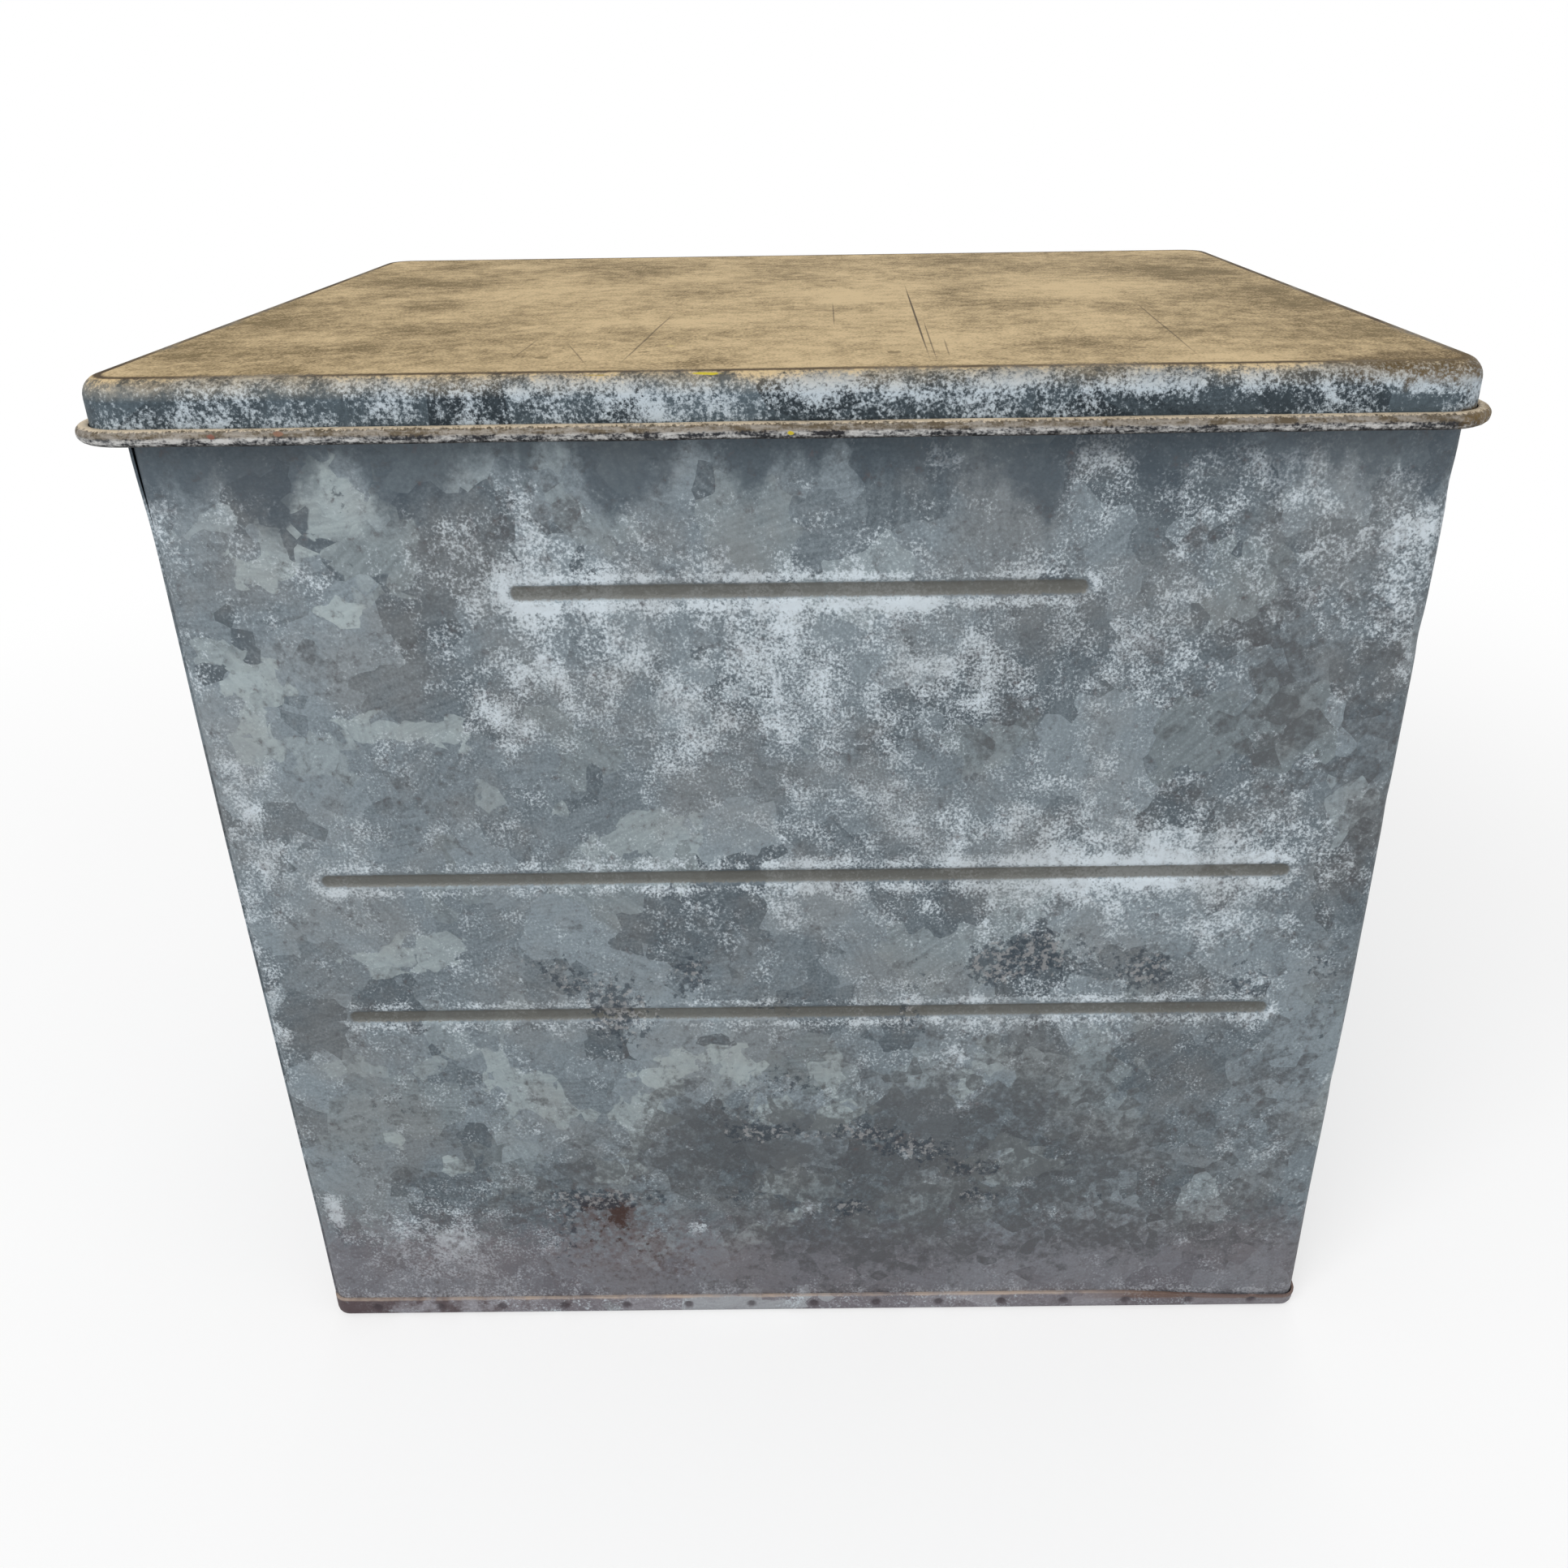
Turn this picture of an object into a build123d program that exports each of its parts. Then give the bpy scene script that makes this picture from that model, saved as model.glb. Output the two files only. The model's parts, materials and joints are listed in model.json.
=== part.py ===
from build123d import *
from math import atan2, cos, radians, tan
import os

# A galvanised milk cooler: a double-walled sheet-steel box with fibre board between its walls,
# and a lid with a wired edge that swings on two strap hinges at the back.
# Millimetres. X to the right, Y to the back, Z up. The origin is the middle of the underside.

# Body
body_width = 318.0
body_depth = 254.0
body_height = 295.6          # floor to the mouth rim
outer_sheet = 0.6
outer_corner_radius = 4.0
sheet_fit = 0.05             # left between two sheets that slide over each other

# Lap seam of the outer sheet, on the left side behind the front corner
lap_width = 14.0
lap_setback = 1.8            # from the front wall to the free edge of the lap
lap_end_gap = 0.3            # above the pan rim and below the liner lip

# Pressed grooves across the front wall: length and height above the floor
front_grooves = ((146.0, 250.8), (270.0, 168.0), (270.0, 121.7))
groove_width = 5.0
groove_depth = 0.9
groove_slope = 45.0          # of the groove's flanks, in degrees

# Bottom pan
pan_sheet = 0.7
pan_rim_height = 8.0
pan_bend_radius = 2.5
stake_pitch = 20.7
stake_height = 4.6
stake_depth = 0.35
stake_mouth_radius = 1.8
stake_slope = 60.0           # of the dent's flank, in degrees
stake_corner_room = 13.0     # from the pan's corner to its first stake, at least

# Insulation
insulation_gap = 12.0        # between the outer shell and the liner
wall_board = 10.0
base_board = 12.0
base_board_clearance = 1.2   # to the outer shell
base_board_corner_radius = 3.0
board_to_liner_floor = 0.1
board_end_gap = 0.2          # between two boards at a corner
board_top_gap = 0.3          # under the mouth flange

# Liner
liner_sheet = 0.5
liner_corner_radius = 6.0    # inside
liner_lip_depth = 5.0
liner_bend_radius = 0.8
liner_floor_rim_height = 8.0

# Lid
lid_side_room = 4.85         # from the liner lip to the lid skirt, each side, when centred
lid_end_room = 5.35          # the same at the front and the back
lid_side_shift = 3.3         # the lid sits this far to the left of centre
lid_seat_gap = 0.3
lid_sheet = 0.6
lid_corner_radius = 12.0
lid_edge_radius = 5.0
lid_skirt_depth = 13.0       # lid top to the middle of the wire
lid_board = 8.0
lid_board_inset = 5.0
lid_board_corner_radius = 8.0
lid_pan_sheet = 0.5
lid_pan_flange_height = 4.0

# Wired edge
wire_diameter = 2.7
curl_gap_angle = 55.0        # open part of the rolled edge, in degrees
curl_rise = 4.0              # height over which the skirt is drawn with the curl

# Hinge straps
strap_spacing = 190.0
strap_width = 25.0
strap_sheet = 0.8
strap_foot_height = 21.0
strap_slope_height = 11.0
strap_neck_height = 5.0
strap_bend_radius = 3.0
strap_curl_angle = 290.0
strap_end_clearance = 0.3    # from the strap to the end of its notch, on the tight side
notch_rise = 4.0             # above the middle of the wire
notch_margin = 1.0           # the notch cutter reaches this far past the sheet

# Rivets
rivet_spacing = 13.0
rivet_rise = 9.0             # above the strap's lower end
rivet_shank_radius = 2.0
rivet_hole_clearance = 0.05
rivet_head_radius = 4.0
rivet_head_height = 1.9
rivet_tail_radius = 3.2
rivet_tail_height = 1.0

# Heights
pan_floor_top = pan_sheet
shell_bottom = pan_bend_radius
liner_floor_bottom = pan_floor_top + base_board
liner_floor_top = liner_floor_bottom + liner_sheet
flange_bottom = body_height - liner_sheet
lip_bottom = flange_bottom - liner_lip_depth
lid_pan_bottom = body_height + lid_seat_gap
lid_board_bottom = lid_pan_bottom + lid_pan_sheet
lid_inner_top = lid_board_bottom + lid_board
lid_top = lid_inner_top + lid_sheet
wire_height = lid_top - lid_skirt_depth

# Plan sizes
shell_inner_width = body_width - 2 * outer_sheet
shell_inner_depth = body_depth - 2 * outer_sheet
shell_inner_radius = outer_corner_radius - outer_sheet
liner_outer_width = shell_inner_width - 2 * insulation_gap
liner_outer_depth = shell_inner_depth - 2 * insulation_gap
liner_inner_width = liner_outer_width - 2 * liner_sheet
liner_inner_depth = liner_outer_depth - 2 * liner_sheet
lip_outer_width = body_width + 2 * (sheet_fit + liner_sheet)
lip_outer_depth = body_depth + 2 * (sheet_fit + liner_sheet)
lip_outer_radius = outer_corner_radius + sheet_fit + liner_sheet
lid_width = lip_outer_width + 2 * (lid_side_room + lid_sheet)
lid_depth = lip_outer_depth + 2 * (lid_end_room + lid_sheet)
lid_middle = -lid_side_shift

# The wire lies outside the skirt, and its middle at the back is the hinge axis
wire_radius = wire_diameter / 2
curl_inner_radius = wire_radius + sheet_fit
curl_outer_radius = curl_inner_radius + lid_sheet
hinge_axis_depth = lid_depth / 2 + curl_inner_radius


def carry_round(profile, width, depth, corner, level, middle=0.0):
    """Add a profile carried round a rounded rectangle, as four runs and four quarter turns.

    The profile is drawn with x outwards from the rectangle's edge and y upwards."""
    for turn in range(4):
        outward = Vector(0, -1, 0).rotate(Axis.Z, -90 * turn)
        travel = outward.cross(Vector(0, 0, 1))
        across, along = (depth, width) if turn % 2 == 0 else (width, depth)
        run = along - 2 * corner
        side = Vector(middle, 0, level) + outward * (across / 2)
        finish = side + travel * (run / 2)
        with BuildSketch(Plane(side - travel * (run / 2), x_dir=outward, z_dir=travel)) as start:
            add(profile)
        extrude(start.sketch, amount=run)
        with BuildSketch(Plane(finish, x_dir=outward, z_dir=travel)) as end:
            add(profile)
        revolve(end.sketch, axis=Axis(finish - outward * corner, (0, 0, -1)), revolution_arc=90)


def ring(outer_width, outer_depth, outer_radius, wall):
    """Draw the plan of an upright sheet wall."""
    RectangleRounded(outer_width, outer_depth, outer_radius)
    RectangleRounded(
        outer_width - 2 * wall, outer_depth - 2 * wall, outer_radius - wall, mode=Mode.SUBTRACT
    )


def press_groove(length, height):
    """Push a round-ended groove into the front wall, which bulges inwards behind it."""
    flank = radians(groove_slope)
    bulge_width = groove_width + 2 * outer_sheet * (1 / cos(flank) - tan(flank))
    bulge_length = length + bulge_width - groove_width
    with BuildSketch(Plane.XZ.offset(shell_inner_depth / 2)) as bulge:
        with Locations((0, height)):
            SlotOverall(bulge_length, bulge_width)
    extrude(bulge.sketch, amount=-groove_depth, taper=groove_slope)
    with BuildSketch(Plane.XZ.offset(body_depth / 2)) as groove:
        with Locations((0, height)):
            SlotOverall(length, groove_width)
    extrude(groove.sketch, amount=-groove_depth, taper=groove_slope, mode=Mode.SUBTRACT)


# Rivet places on the back wall
rivet_height = wire_height - strap_neck_height - strap_slope_height - strap_foot_height + rivet_rise
strap_places = {"left": -strap_spacing / 2, "right": strap_spacing / 2}


def rivet_holes(middle):
    """Drill the holes for one strap's rivets through what stands at the back wall."""
    with BuildSketch(Plane.XZ.offset(-body_depth / 2 - 2 * strap_sheet)) as holes:
        with Locations((middle, rivet_height)):
            with GridLocations(rivet_spacing, 0, 2, 1):
                Circle(rivet_shank_radius + rivet_hole_clearance)
    extrude(holes.sketch, amount=outer_sheet + 4 * strap_sheet, mode=Mode.SUBTRACT)


# Outer shell
with BuildPart() as outer_shell:
    with BuildSketch(Plane.XY.offset(shell_bottom)):
        ring(body_width, body_depth, outer_corner_radius, outer_sheet)
    extrude(amount=flange_bottom - shell_bottom)
    lap_bottom = pan_rim_height + lap_end_gap
    with BuildSketch(Plane.XY.offset(lap_bottom)):
        ring(
            body_width + 2 * outer_sheet,
            body_depth + 2 * outer_sheet,
            outer_corner_radius + outer_sheet,
            outer_sheet,
        )
        with Locations((-body_width / 2, -body_depth / 2 + lap_setback + lap_width / 2)):
            Rectangle(2 * outer_corner_radius, lap_width, mode=Mode.INTERSECT)
    extrude(amount=lip_bottom - lap_end_gap - lap_bottom)
    for groove_length, groove_height in front_grooves:
        press_groove(groove_length, groove_height)
    for strap_middle in strap_places.values():
        rivet_holes(strap_middle)

# Bottom pan, with a row of stakes punched into each side of its rim
pan_width = body_width + 2 * (sheet_fit + pan_sheet)
pan_depth = body_depth + 2 * (sheet_fit + pan_sheet)
pan_corner_radius = outer_corner_radius + sheet_fit + pan_sheet
with BuildSketch() as pan_edge:
    with BuildLine():
        bend_middle = (-pan_bend_radius, pan_bend_radius)
        outer_bend = CenterArc(bend_middle, pan_bend_radius, 270, 90)
        inner_bend = CenterArc(bend_middle, pan_bend_radius - pan_sheet, 270, 90)
        Line(outer_bend @ 0, inner_bend @ 0)
        Polyline(
            outer_bend @ 1, (0, pan_rim_height), (-pan_sheet, pan_rim_height), inner_bend @ 1
        )
    make_face()
with BuildPart() as bottom_pan:
    with BuildSketch():
        RectangleRounded(
            pan_width - 2 * pan_bend_radius,
            pan_depth - 2 * pan_bend_radius,
            pan_corner_radius - pan_bend_radius,
        )
    extrude(amount=pan_sheet)
    carry_round(pan_edge.sketch, pan_width, pan_depth, pan_corner_radius, 0)
    for pan_turn in range(4):
        rim_out = Vector(0, -1, 0).rotate(Axis.Z, -90 * pan_turn)
        across, along = (pan_depth, pan_width) if pan_turn % 2 == 0 else (pan_width, pan_depth)
        rim_middle = rim_out * (across / 2) + Vector(0, 0, stake_height)
        stakes = int((along - 2 * stake_corner_room) / stake_pitch) + 1
        with BuildSketch(Plane(rim_middle, x_dir=rim_out.cross(Vector(0, 0, 1)), z_dir=rim_out)):
            with GridLocations(stake_pitch, 0, stakes, 1):
                Circle(stake_mouth_radius)
        extrude(amount=-stake_depth, taper=stake_slope, mode=Mode.SUBTRACT)

# Liner walls, with the flange over the mouth and the lip turned down over the shell
with BuildPart() as liner_walls:
    with BuildSketch(Plane.XY.offset(liner_floor_top)):
        ring(
            liner_outer_width, liner_outer_depth, liner_corner_radius + liner_sheet, liner_sheet
        )
    extrude(amount=body_height - liner_floor_top)
    with BuildSketch(Plane.XY.offset(flange_bottom)):
        RectangleRounded(lip_outer_width, lip_outer_depth, lip_outer_radius)
        RectangleRounded(
            liner_inner_width, liner_inner_depth, liner_corner_radius, mode=Mode.SUBTRACT
        )
    extrude(amount=liner_sheet)
    with BuildSketch(Plane.XY.offset(lip_bottom)):
        ring(lip_outer_width, lip_outer_depth, lip_outer_radius, liner_sheet)
    extrude(amount=liner_lip_depth)
    mouth_face = liner_walls.faces().sort_by(Axis.Z)[-1]
    fillet(mouth_face.outer_wire().edges(), liner_bend_radius)

# Liner floor, a tray round the foot of the liner walls
floor_tray_growth = 2 * (sheet_fit + liner_sheet)
with BuildPart() as liner_floor:
    with BuildSketch(Plane.XY.offset(liner_floor_bottom)):
        RectangleRounded(
            liner_outer_width + floor_tray_growth,
            liner_outer_depth + floor_tray_growth,
            liner_corner_radius + 2 * liner_sheet + sheet_fit,
        )
    extrude(amount=liner_floor_rim_height)
    offset(amount=-liner_sheet, openings=liner_floor.faces().sort_by(Axis.Z)[-1])

# Insulation boards: the front and back ones cover the ends of the side ones
board_to_liner = sheet_fit + liner_sheet + board_to_liner_floor
board_to_shell = insulation_gap - board_to_liner - wall_board
board_height = flange_bottom - board_top_gap - liner_floor_bottom
long_board_length = shell_inner_width - 2 * board_to_shell
short_board_length = shell_inner_depth - 2 * (board_to_shell + wall_board + board_end_gap)
board_middle_x = shell_inner_width / 2 - board_to_shell - wall_board / 2
board_middle_y = shell_inner_depth / 2 - board_to_shell - wall_board / 2
board_plans = {
    "insulation_front": (0, -board_middle_y, long_board_length, wall_board),
    "insulation_back": (0, board_middle_y, long_board_length, wall_board),
    "insulation_left": (-board_middle_x, 0, wall_board, short_board_length),
    "insulation_right": (board_middle_x, 0, wall_board, short_board_length),
}
pieces = {}
for board_name, (board_x, board_y, board_width, board_depth) in board_plans.items():
    with BuildPart() as board:
        with BuildSketch(Plane.XY.offset(liner_floor_bottom)):
            with Locations((board_x, board_y)):
                Rectangle(board_width, board_depth)
        extrude(amount=board_height)
    pieces[board_name] = board

with BuildPart() as insulation_base:
    with BuildSketch(Plane.XY.offset(pan_floor_top)):
        RectangleRounded(
            shell_inner_width - 2 * base_board_clearance,
            shell_inner_depth - 2 * base_board_clearance,
            base_board_corner_radius,
        )
    extrude(amount=base_board)

# Hinge straps: flat on the back wall, cranked out to the wire and curled over it
wall = body_depth / 2
strap_face = wall + strap_sheet
neck_face = hinge_axis_depth - curl_inner_radius
neck_bottom = wire_height - strap_neck_height
foot_top = neck_bottom - strap_slope_height
foot_bottom = foot_top - strap_foot_height
crank_rise = strap_sheet * tan(atan2(neck_face - strap_face, strap_slope_height) / 2)
for strap_side, strap_middle in strap_places.items():
    with BuildPart() as strap:
        with BuildSketch(Plane.YZ.offset(strap_middle - strap_width / 2)):
            with BuildLine():
                near_face = FilletPolyline(
                    (strap_face, foot_bottom),
                    (strap_face, foot_top),
                    (neck_face, neck_bottom),
                    (neck_face, wire_height),
                    radius=strap_bend_radius,
                )
                far_face = FilletPolyline(
                    (wall, foot_bottom),
                    (wall, foot_top + crank_rise),
                    (neck_face - strap_sheet, neck_bottom + crank_rise),
                    (neck_face - strap_sheet, wire_height),
                    radius=(strap_bend_radius + strap_sheet, strap_bend_radius - strap_sheet),
                )
                hinge_axis = (hinge_axis_depth, wire_height)
                near_curl = CenterArc(hinge_axis, curl_inner_radius, 180, -strap_curl_angle)
                far_curl = CenterArc(
                    hinge_axis, curl_inner_radius + strap_sheet, 180, -strap_curl_angle
                )
                Line(near_face @ 0, far_face @ 0)
                Line(near_curl @ 1, far_curl @ 1)
            make_face()
        extrude(amount=strap_width)
        rivet_holes(strap_middle)
    pieces["hinge_strap_" + strap_side] = strap

# Rivets, with a domed head outside and a flattened tail inside
inner_wall = wall - outer_sheet
tail_end = inner_wall - rivet_tail_height
head_end = strap_face + rivet_head_height
for strap_side, strap_middle in strap_places.items():
    with BuildPart() as rivets:
        for rivet_x in (strap_middle - rivet_spacing / 2, strap_middle + rivet_spacing / 2):
            with BuildSketch(Plane.YZ.offset(rivet_x)):
                with BuildLine():
                    Polyline(
                        (head_end, rivet_height),
                        (tail_end, rivet_height),
                        (tail_end, rivet_height + rivet_tail_radius),
                        (inner_wall, rivet_height + rivet_tail_radius),
                        (inner_wall, rivet_height + rivet_shank_radius),
                        (strap_face, rivet_height + rivet_shank_radius),
                        (strap_face, rivet_height + rivet_head_radius),
                    )
                    TangentArc(
                        (head_end, rivet_height),
                        (strap_face, rivet_height + rivet_head_radius),
                        tangent=(0, 1),
                    )
                make_face()
            revolve(axis=Axis((rivet_x, 0, rivet_height), (0, 1, 0)))
    pieces["hinge_rivets_" + strap_side] = rivets


# The skirt's lower end with the curl that goes on from it round the wire, and the wire in it
curl_angle = 360 - curl_gap_angle
with BuildSketch() as wired_edge:
    with BuildLine():
        outer_curl = CenterArc((curl_inner_radius, 0), curl_outer_radius, 180, curl_angle)
        inner_curl = CenterArc((curl_inner_radius, 0), curl_inner_radius, 180, curl_angle)
        Line(outer_curl @ 1, inner_curl @ 1)
        Polyline(inner_curl @ 0, (0, curl_rise), (-lid_sheet, curl_rise), outer_curl @ 0)
    make_face()
with BuildSketch() as wire_section:
    with Locations((curl_inner_radius, 0)):
        Circle(wire_radius)

# Lid cover: the pressed top, the wired edge, and a notch for each hinge strap
notch_width = strap_width + 2 * (lid_side_shift + strap_end_clearance)
notch_inner = lid_depth / 2 - lid_sheet - notch_margin
notch_outer = hinge_axis_depth + curl_outer_radius + notch_margin
notch_bottom = wire_height - curl_outer_radius - notch_margin
with BuildPart() as lid_cover:
    with BuildSketch(Plane((lid_middle, 0, wire_height + curl_rise))):
        RectangleRounded(lid_width, lid_depth, lid_corner_radius)
    extrude(amount=lid_skirt_depth - curl_rise)
    fillet(lid_cover.faces().sort_by(Axis.Z)[-1].edges(), lid_edge_radius)
    offset(amount=-lid_sheet, openings=lid_cover.faces().sort_by(Axis.Z)[0])
    carry_round(
        wired_edge.sketch, lid_width, lid_depth, lid_corner_radius, wire_height, lid_middle
    )
    for strap_middle in strap_places.values():
        with BuildSketch(Plane.XY.offset(notch_bottom)):
            with Locations((lid_middle + strap_middle, (notch_inner + notch_outer) / 2)):
                Rectangle(notch_width, notch_outer - notch_inner)
        extrude(amount=wire_height + notch_rise - notch_bottom, mode=Mode.SUBTRACT)

with BuildPart() as lid_wire:
    carry_round(
        wire_section.sketch, lid_width, lid_depth, lid_corner_radius, wire_height, lid_middle
    )

# Lid liner pan, turned up inside the skirt, and the board that it holds
lid_inner_width = lid_width - 2 * lid_sheet
lid_inner_depth = lid_depth - 2 * lid_sheet
with BuildPart() as lid_liner_pan:
    with BuildSketch(Plane((lid_middle, 0, lid_pan_bottom))):
        RectangleRounded(
            lid_inner_width - 2 * sheet_fit,
            lid_inner_depth - 2 * sheet_fit,
            lid_corner_radius - lid_sheet - sheet_fit,
        )
    extrude(amount=lid_pan_flange_height)
    offset(amount=-lid_pan_sheet, openings=lid_liner_pan.faces().sort_by(Axis.Z)[-1])

with BuildPart() as lid_insulation:
    with BuildSketch(Plane((lid_middle, 0, lid_board_bottom))):
        RectangleRounded(
            lid_inner_width - 2 * lid_board_inset,
            lid_inner_depth - 2 * lid_board_inset,
            lid_board_corner_radius,
        )
    extrude(amount=lid_board)

pieces["outer_shell"] = outer_shell
pieces["bottom_pan"] = bottom_pan
pieces["liner_walls"] = liner_walls
pieces["liner_floor"] = liner_floor
pieces["insulation_base"] = insulation_base
pieces["lid_cover"] = lid_cover
pieces["lid_wire"] = lid_wire
pieces["lid_insulation"] = lid_insulation
pieces["lid_liner_pan"] = lid_liner_pan

os.makedirs("parts", exist_ok=True)
for node_name, piece in pieces.items():
    piece.part.label = node_name
    export_step(piece.part, f"parts/{node_name}.step")
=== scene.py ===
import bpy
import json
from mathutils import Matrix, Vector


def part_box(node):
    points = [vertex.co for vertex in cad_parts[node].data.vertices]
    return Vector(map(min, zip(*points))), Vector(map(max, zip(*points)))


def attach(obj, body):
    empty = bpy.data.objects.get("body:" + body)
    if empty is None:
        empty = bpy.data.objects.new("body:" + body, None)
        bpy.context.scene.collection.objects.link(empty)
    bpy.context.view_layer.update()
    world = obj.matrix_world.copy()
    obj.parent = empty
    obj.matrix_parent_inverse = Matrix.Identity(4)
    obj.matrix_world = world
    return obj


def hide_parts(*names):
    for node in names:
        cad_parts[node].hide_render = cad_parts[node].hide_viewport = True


bl_info = {
    "name": "Milk Cooler",
    "version": (1, 0, 0),
    "blender": (4, 5, 0),
    "location": "3D View > Sidebar > Milk Cooler",
    "description": "Builds a galvanised porch box for milk bottles, with its hinged lid",
    "category": "Object",
}

import functools
import json
import math

import bpy
from bpy.props import FloatProperty, FloatVectorProperty, PointerProperty
from mathutils import Matrix, Vector, noise

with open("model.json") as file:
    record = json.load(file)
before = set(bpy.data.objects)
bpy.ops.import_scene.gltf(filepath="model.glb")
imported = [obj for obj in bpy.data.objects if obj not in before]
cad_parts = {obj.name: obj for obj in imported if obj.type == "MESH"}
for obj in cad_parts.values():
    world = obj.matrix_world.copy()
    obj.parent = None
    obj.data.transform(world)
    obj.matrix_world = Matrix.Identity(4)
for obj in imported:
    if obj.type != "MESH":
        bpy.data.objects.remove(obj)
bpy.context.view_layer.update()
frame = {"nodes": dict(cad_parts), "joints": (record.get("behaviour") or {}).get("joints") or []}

MM = 0.001

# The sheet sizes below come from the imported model's own boxes
shell_low, shell_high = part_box("outer_shell")
pan_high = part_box("bottom_pan")[1]
liner_low, liner_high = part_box("liner_walls")
cover_low, cover_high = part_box("lid_cover")
HINGE = frame["joints"][0]["pos_m"]
LID_MIDDLE = (cover_low.x + cover_high.x) / 2

BEAD_REACH = 3.4 * MM      # from the lid's skirt to the outside of its rolled edge
CURL_GAP = 0.05 * MM       # between the wire and the sheet that is curled round it
BEND_SWEEP = 305           # degrees that the lid's edge turns round the wire
STRAP_SWEEP = 290          # and the straps' ends
NOTCH_ROOM = 3.6 * MM      # beside a strap in the rolled edge
NOTCH_TOP = 4 * MM         # above the wire
RIVET_DROP = 28 * MM       # from the hinge down to the rivets
LINER_SHEET = 0.5 * MM
PAN_SHEET = 0.7 * MM
SHARP_EDGE = 40            # degrees past which an edge is shaded sharp
FLAKE_REACH = 26           # mm round a bright crystal's middle in which it can show
FLOOR_REACH = 30           # metres to the floor's edge
FLOOR_DROP = 0.4 * MM      # of the floor below the pan
RIGHT_EDGE = 158 * MM      # where the front's marks end and the right wall's begin

# Sizes of the patterns
CRYSTAL = 21 * MM
FACET = 5.5 * MM
GRAIN = 0.8 * MM           # coarser than the real speckle, so that it shows
SPECK = 2.2 * MM
MOTTLE = 4.5 * MM

# Plain pressed grooves on the front wall: length and height above the floor
GROOVES = ((0.146, 0.2508), (0.270, 0.1680), (0.270, 0.1217))

# What is kept at each point of the body for its material
BODY_MARKS = ("press", "bloom", "corrosion", "rust", "grime", "leaf", "leaf_light")
NO_LEAF = (-0.6, 0.0)


def linear(code):
    """Turn an sRGB hex colour into the linear numbers that the shaders take."""
    parts = [int(code[i:i + 2], 16) / 255 for i in (1, 3, 5)]
    return tuple(c / 12.92 if c <= 0.04045 else ((c + 0.055) / 1.055) ** 2.4 for c in parts)


def smooth(value, low, high):
    """Rise smoothly from 0 to 1 while the value goes from low to high."""
    t = min(1.0, max(0.0, (value - low) / (high - low)))
    return t * t * (3 - 2 * t)


def size(label, text, default):
    return FloatProperty(name=label, description=text, default=default, unit="LENGTH")


def colour(label, text, code):
    return FloatVectorProperty(
        name=label, description=text, default=linear(code), subtype="COLOR", size=3, min=0, max=1)


class CoolerSizes(bpy.types.PropertyGroup):
    """Sizes of the sheet-metal work"""

    body_width: size("Body width", "Outside width of the wrap", 2 * shell_high.x)
    body_depth: size("Body depth", "Outside depth of the wrap", 2 * shell_high.y)
    body_corner: size("Body corner", "Outside radius of the wrap's corners", 4 * MM)
    body_sheet: size("Body sheet", "Thickness of the wrap", 0.6 * MM)
    groove_width: size("Groove width", "Width of a pressed groove at its mouth", 5 * MM)
    groove_depth: size("Groove depth", "Depth of a pressed groove", 0.9 * MM)
    pan_width: size("Pan width", "Outside width of the bottom pan", 2 * pan_high.x)
    pan_depth: size("Pan depth", "Outside depth of the bottom pan", 2 * pan_high.y)
    pan_rim: size("Pan rim", "Height of the pan's rim", pan_high.z)
    pan_bend: size("Pan bend", "Radius of the pan's lower edge", 2.5 * MM)
    stake_pitch: size("Stake pitch", "From one punched stake to the next", 20.7 * MM)
    stake_height: size("Stake height", "Middle of the stakes above the floor", 3.9 * MM)
    stake_radius: size("Stake radius", "Radius of a stake's mouth", 2.4 * MM)
    stake_depth: size("Stake depth", "Depth of a stake", 0.6 * MM)
    lid_width: size(
        "Lid width", "Width over the lid's skirt", cover_high.x - cover_low.x - 2 * BEAD_REACH)
    lid_depth: size("Lid depth", "Depth over the lid's skirt", 2 * (-cover_low.y - BEAD_REACH))
    lid_corner: size("Lid corner", "Outside radius of the lid's corners", 12 * MM)
    lid_edge: size("Lid edge", "Radius where the top turns down into the skirt", 5 * MM)
    wire: size("Wire", "Diameter of the wire in the rolled edge", 2.7 * MM)
    strap_width: size("Strap width", "Width of a hinge strap", 25 * MM)
    strap_sheet: size("Strap sheet", "Thickness of a hinge strap", 0.8 * MM)
    strap_spacing: size("Strap spacing", "Between the middles of the two hinge straps", 190 * MM)
    rivet_radius: size("Rivet radius", "Radius of a rivet head", 4 * MM)
    rivet_rise: size("Rivet rise", "Height of a rivet head", 1.9 * MM)
    rivet_spacing: size("Rivet spacing", "Between the two rivets of a strap", 13 * MM)


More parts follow.
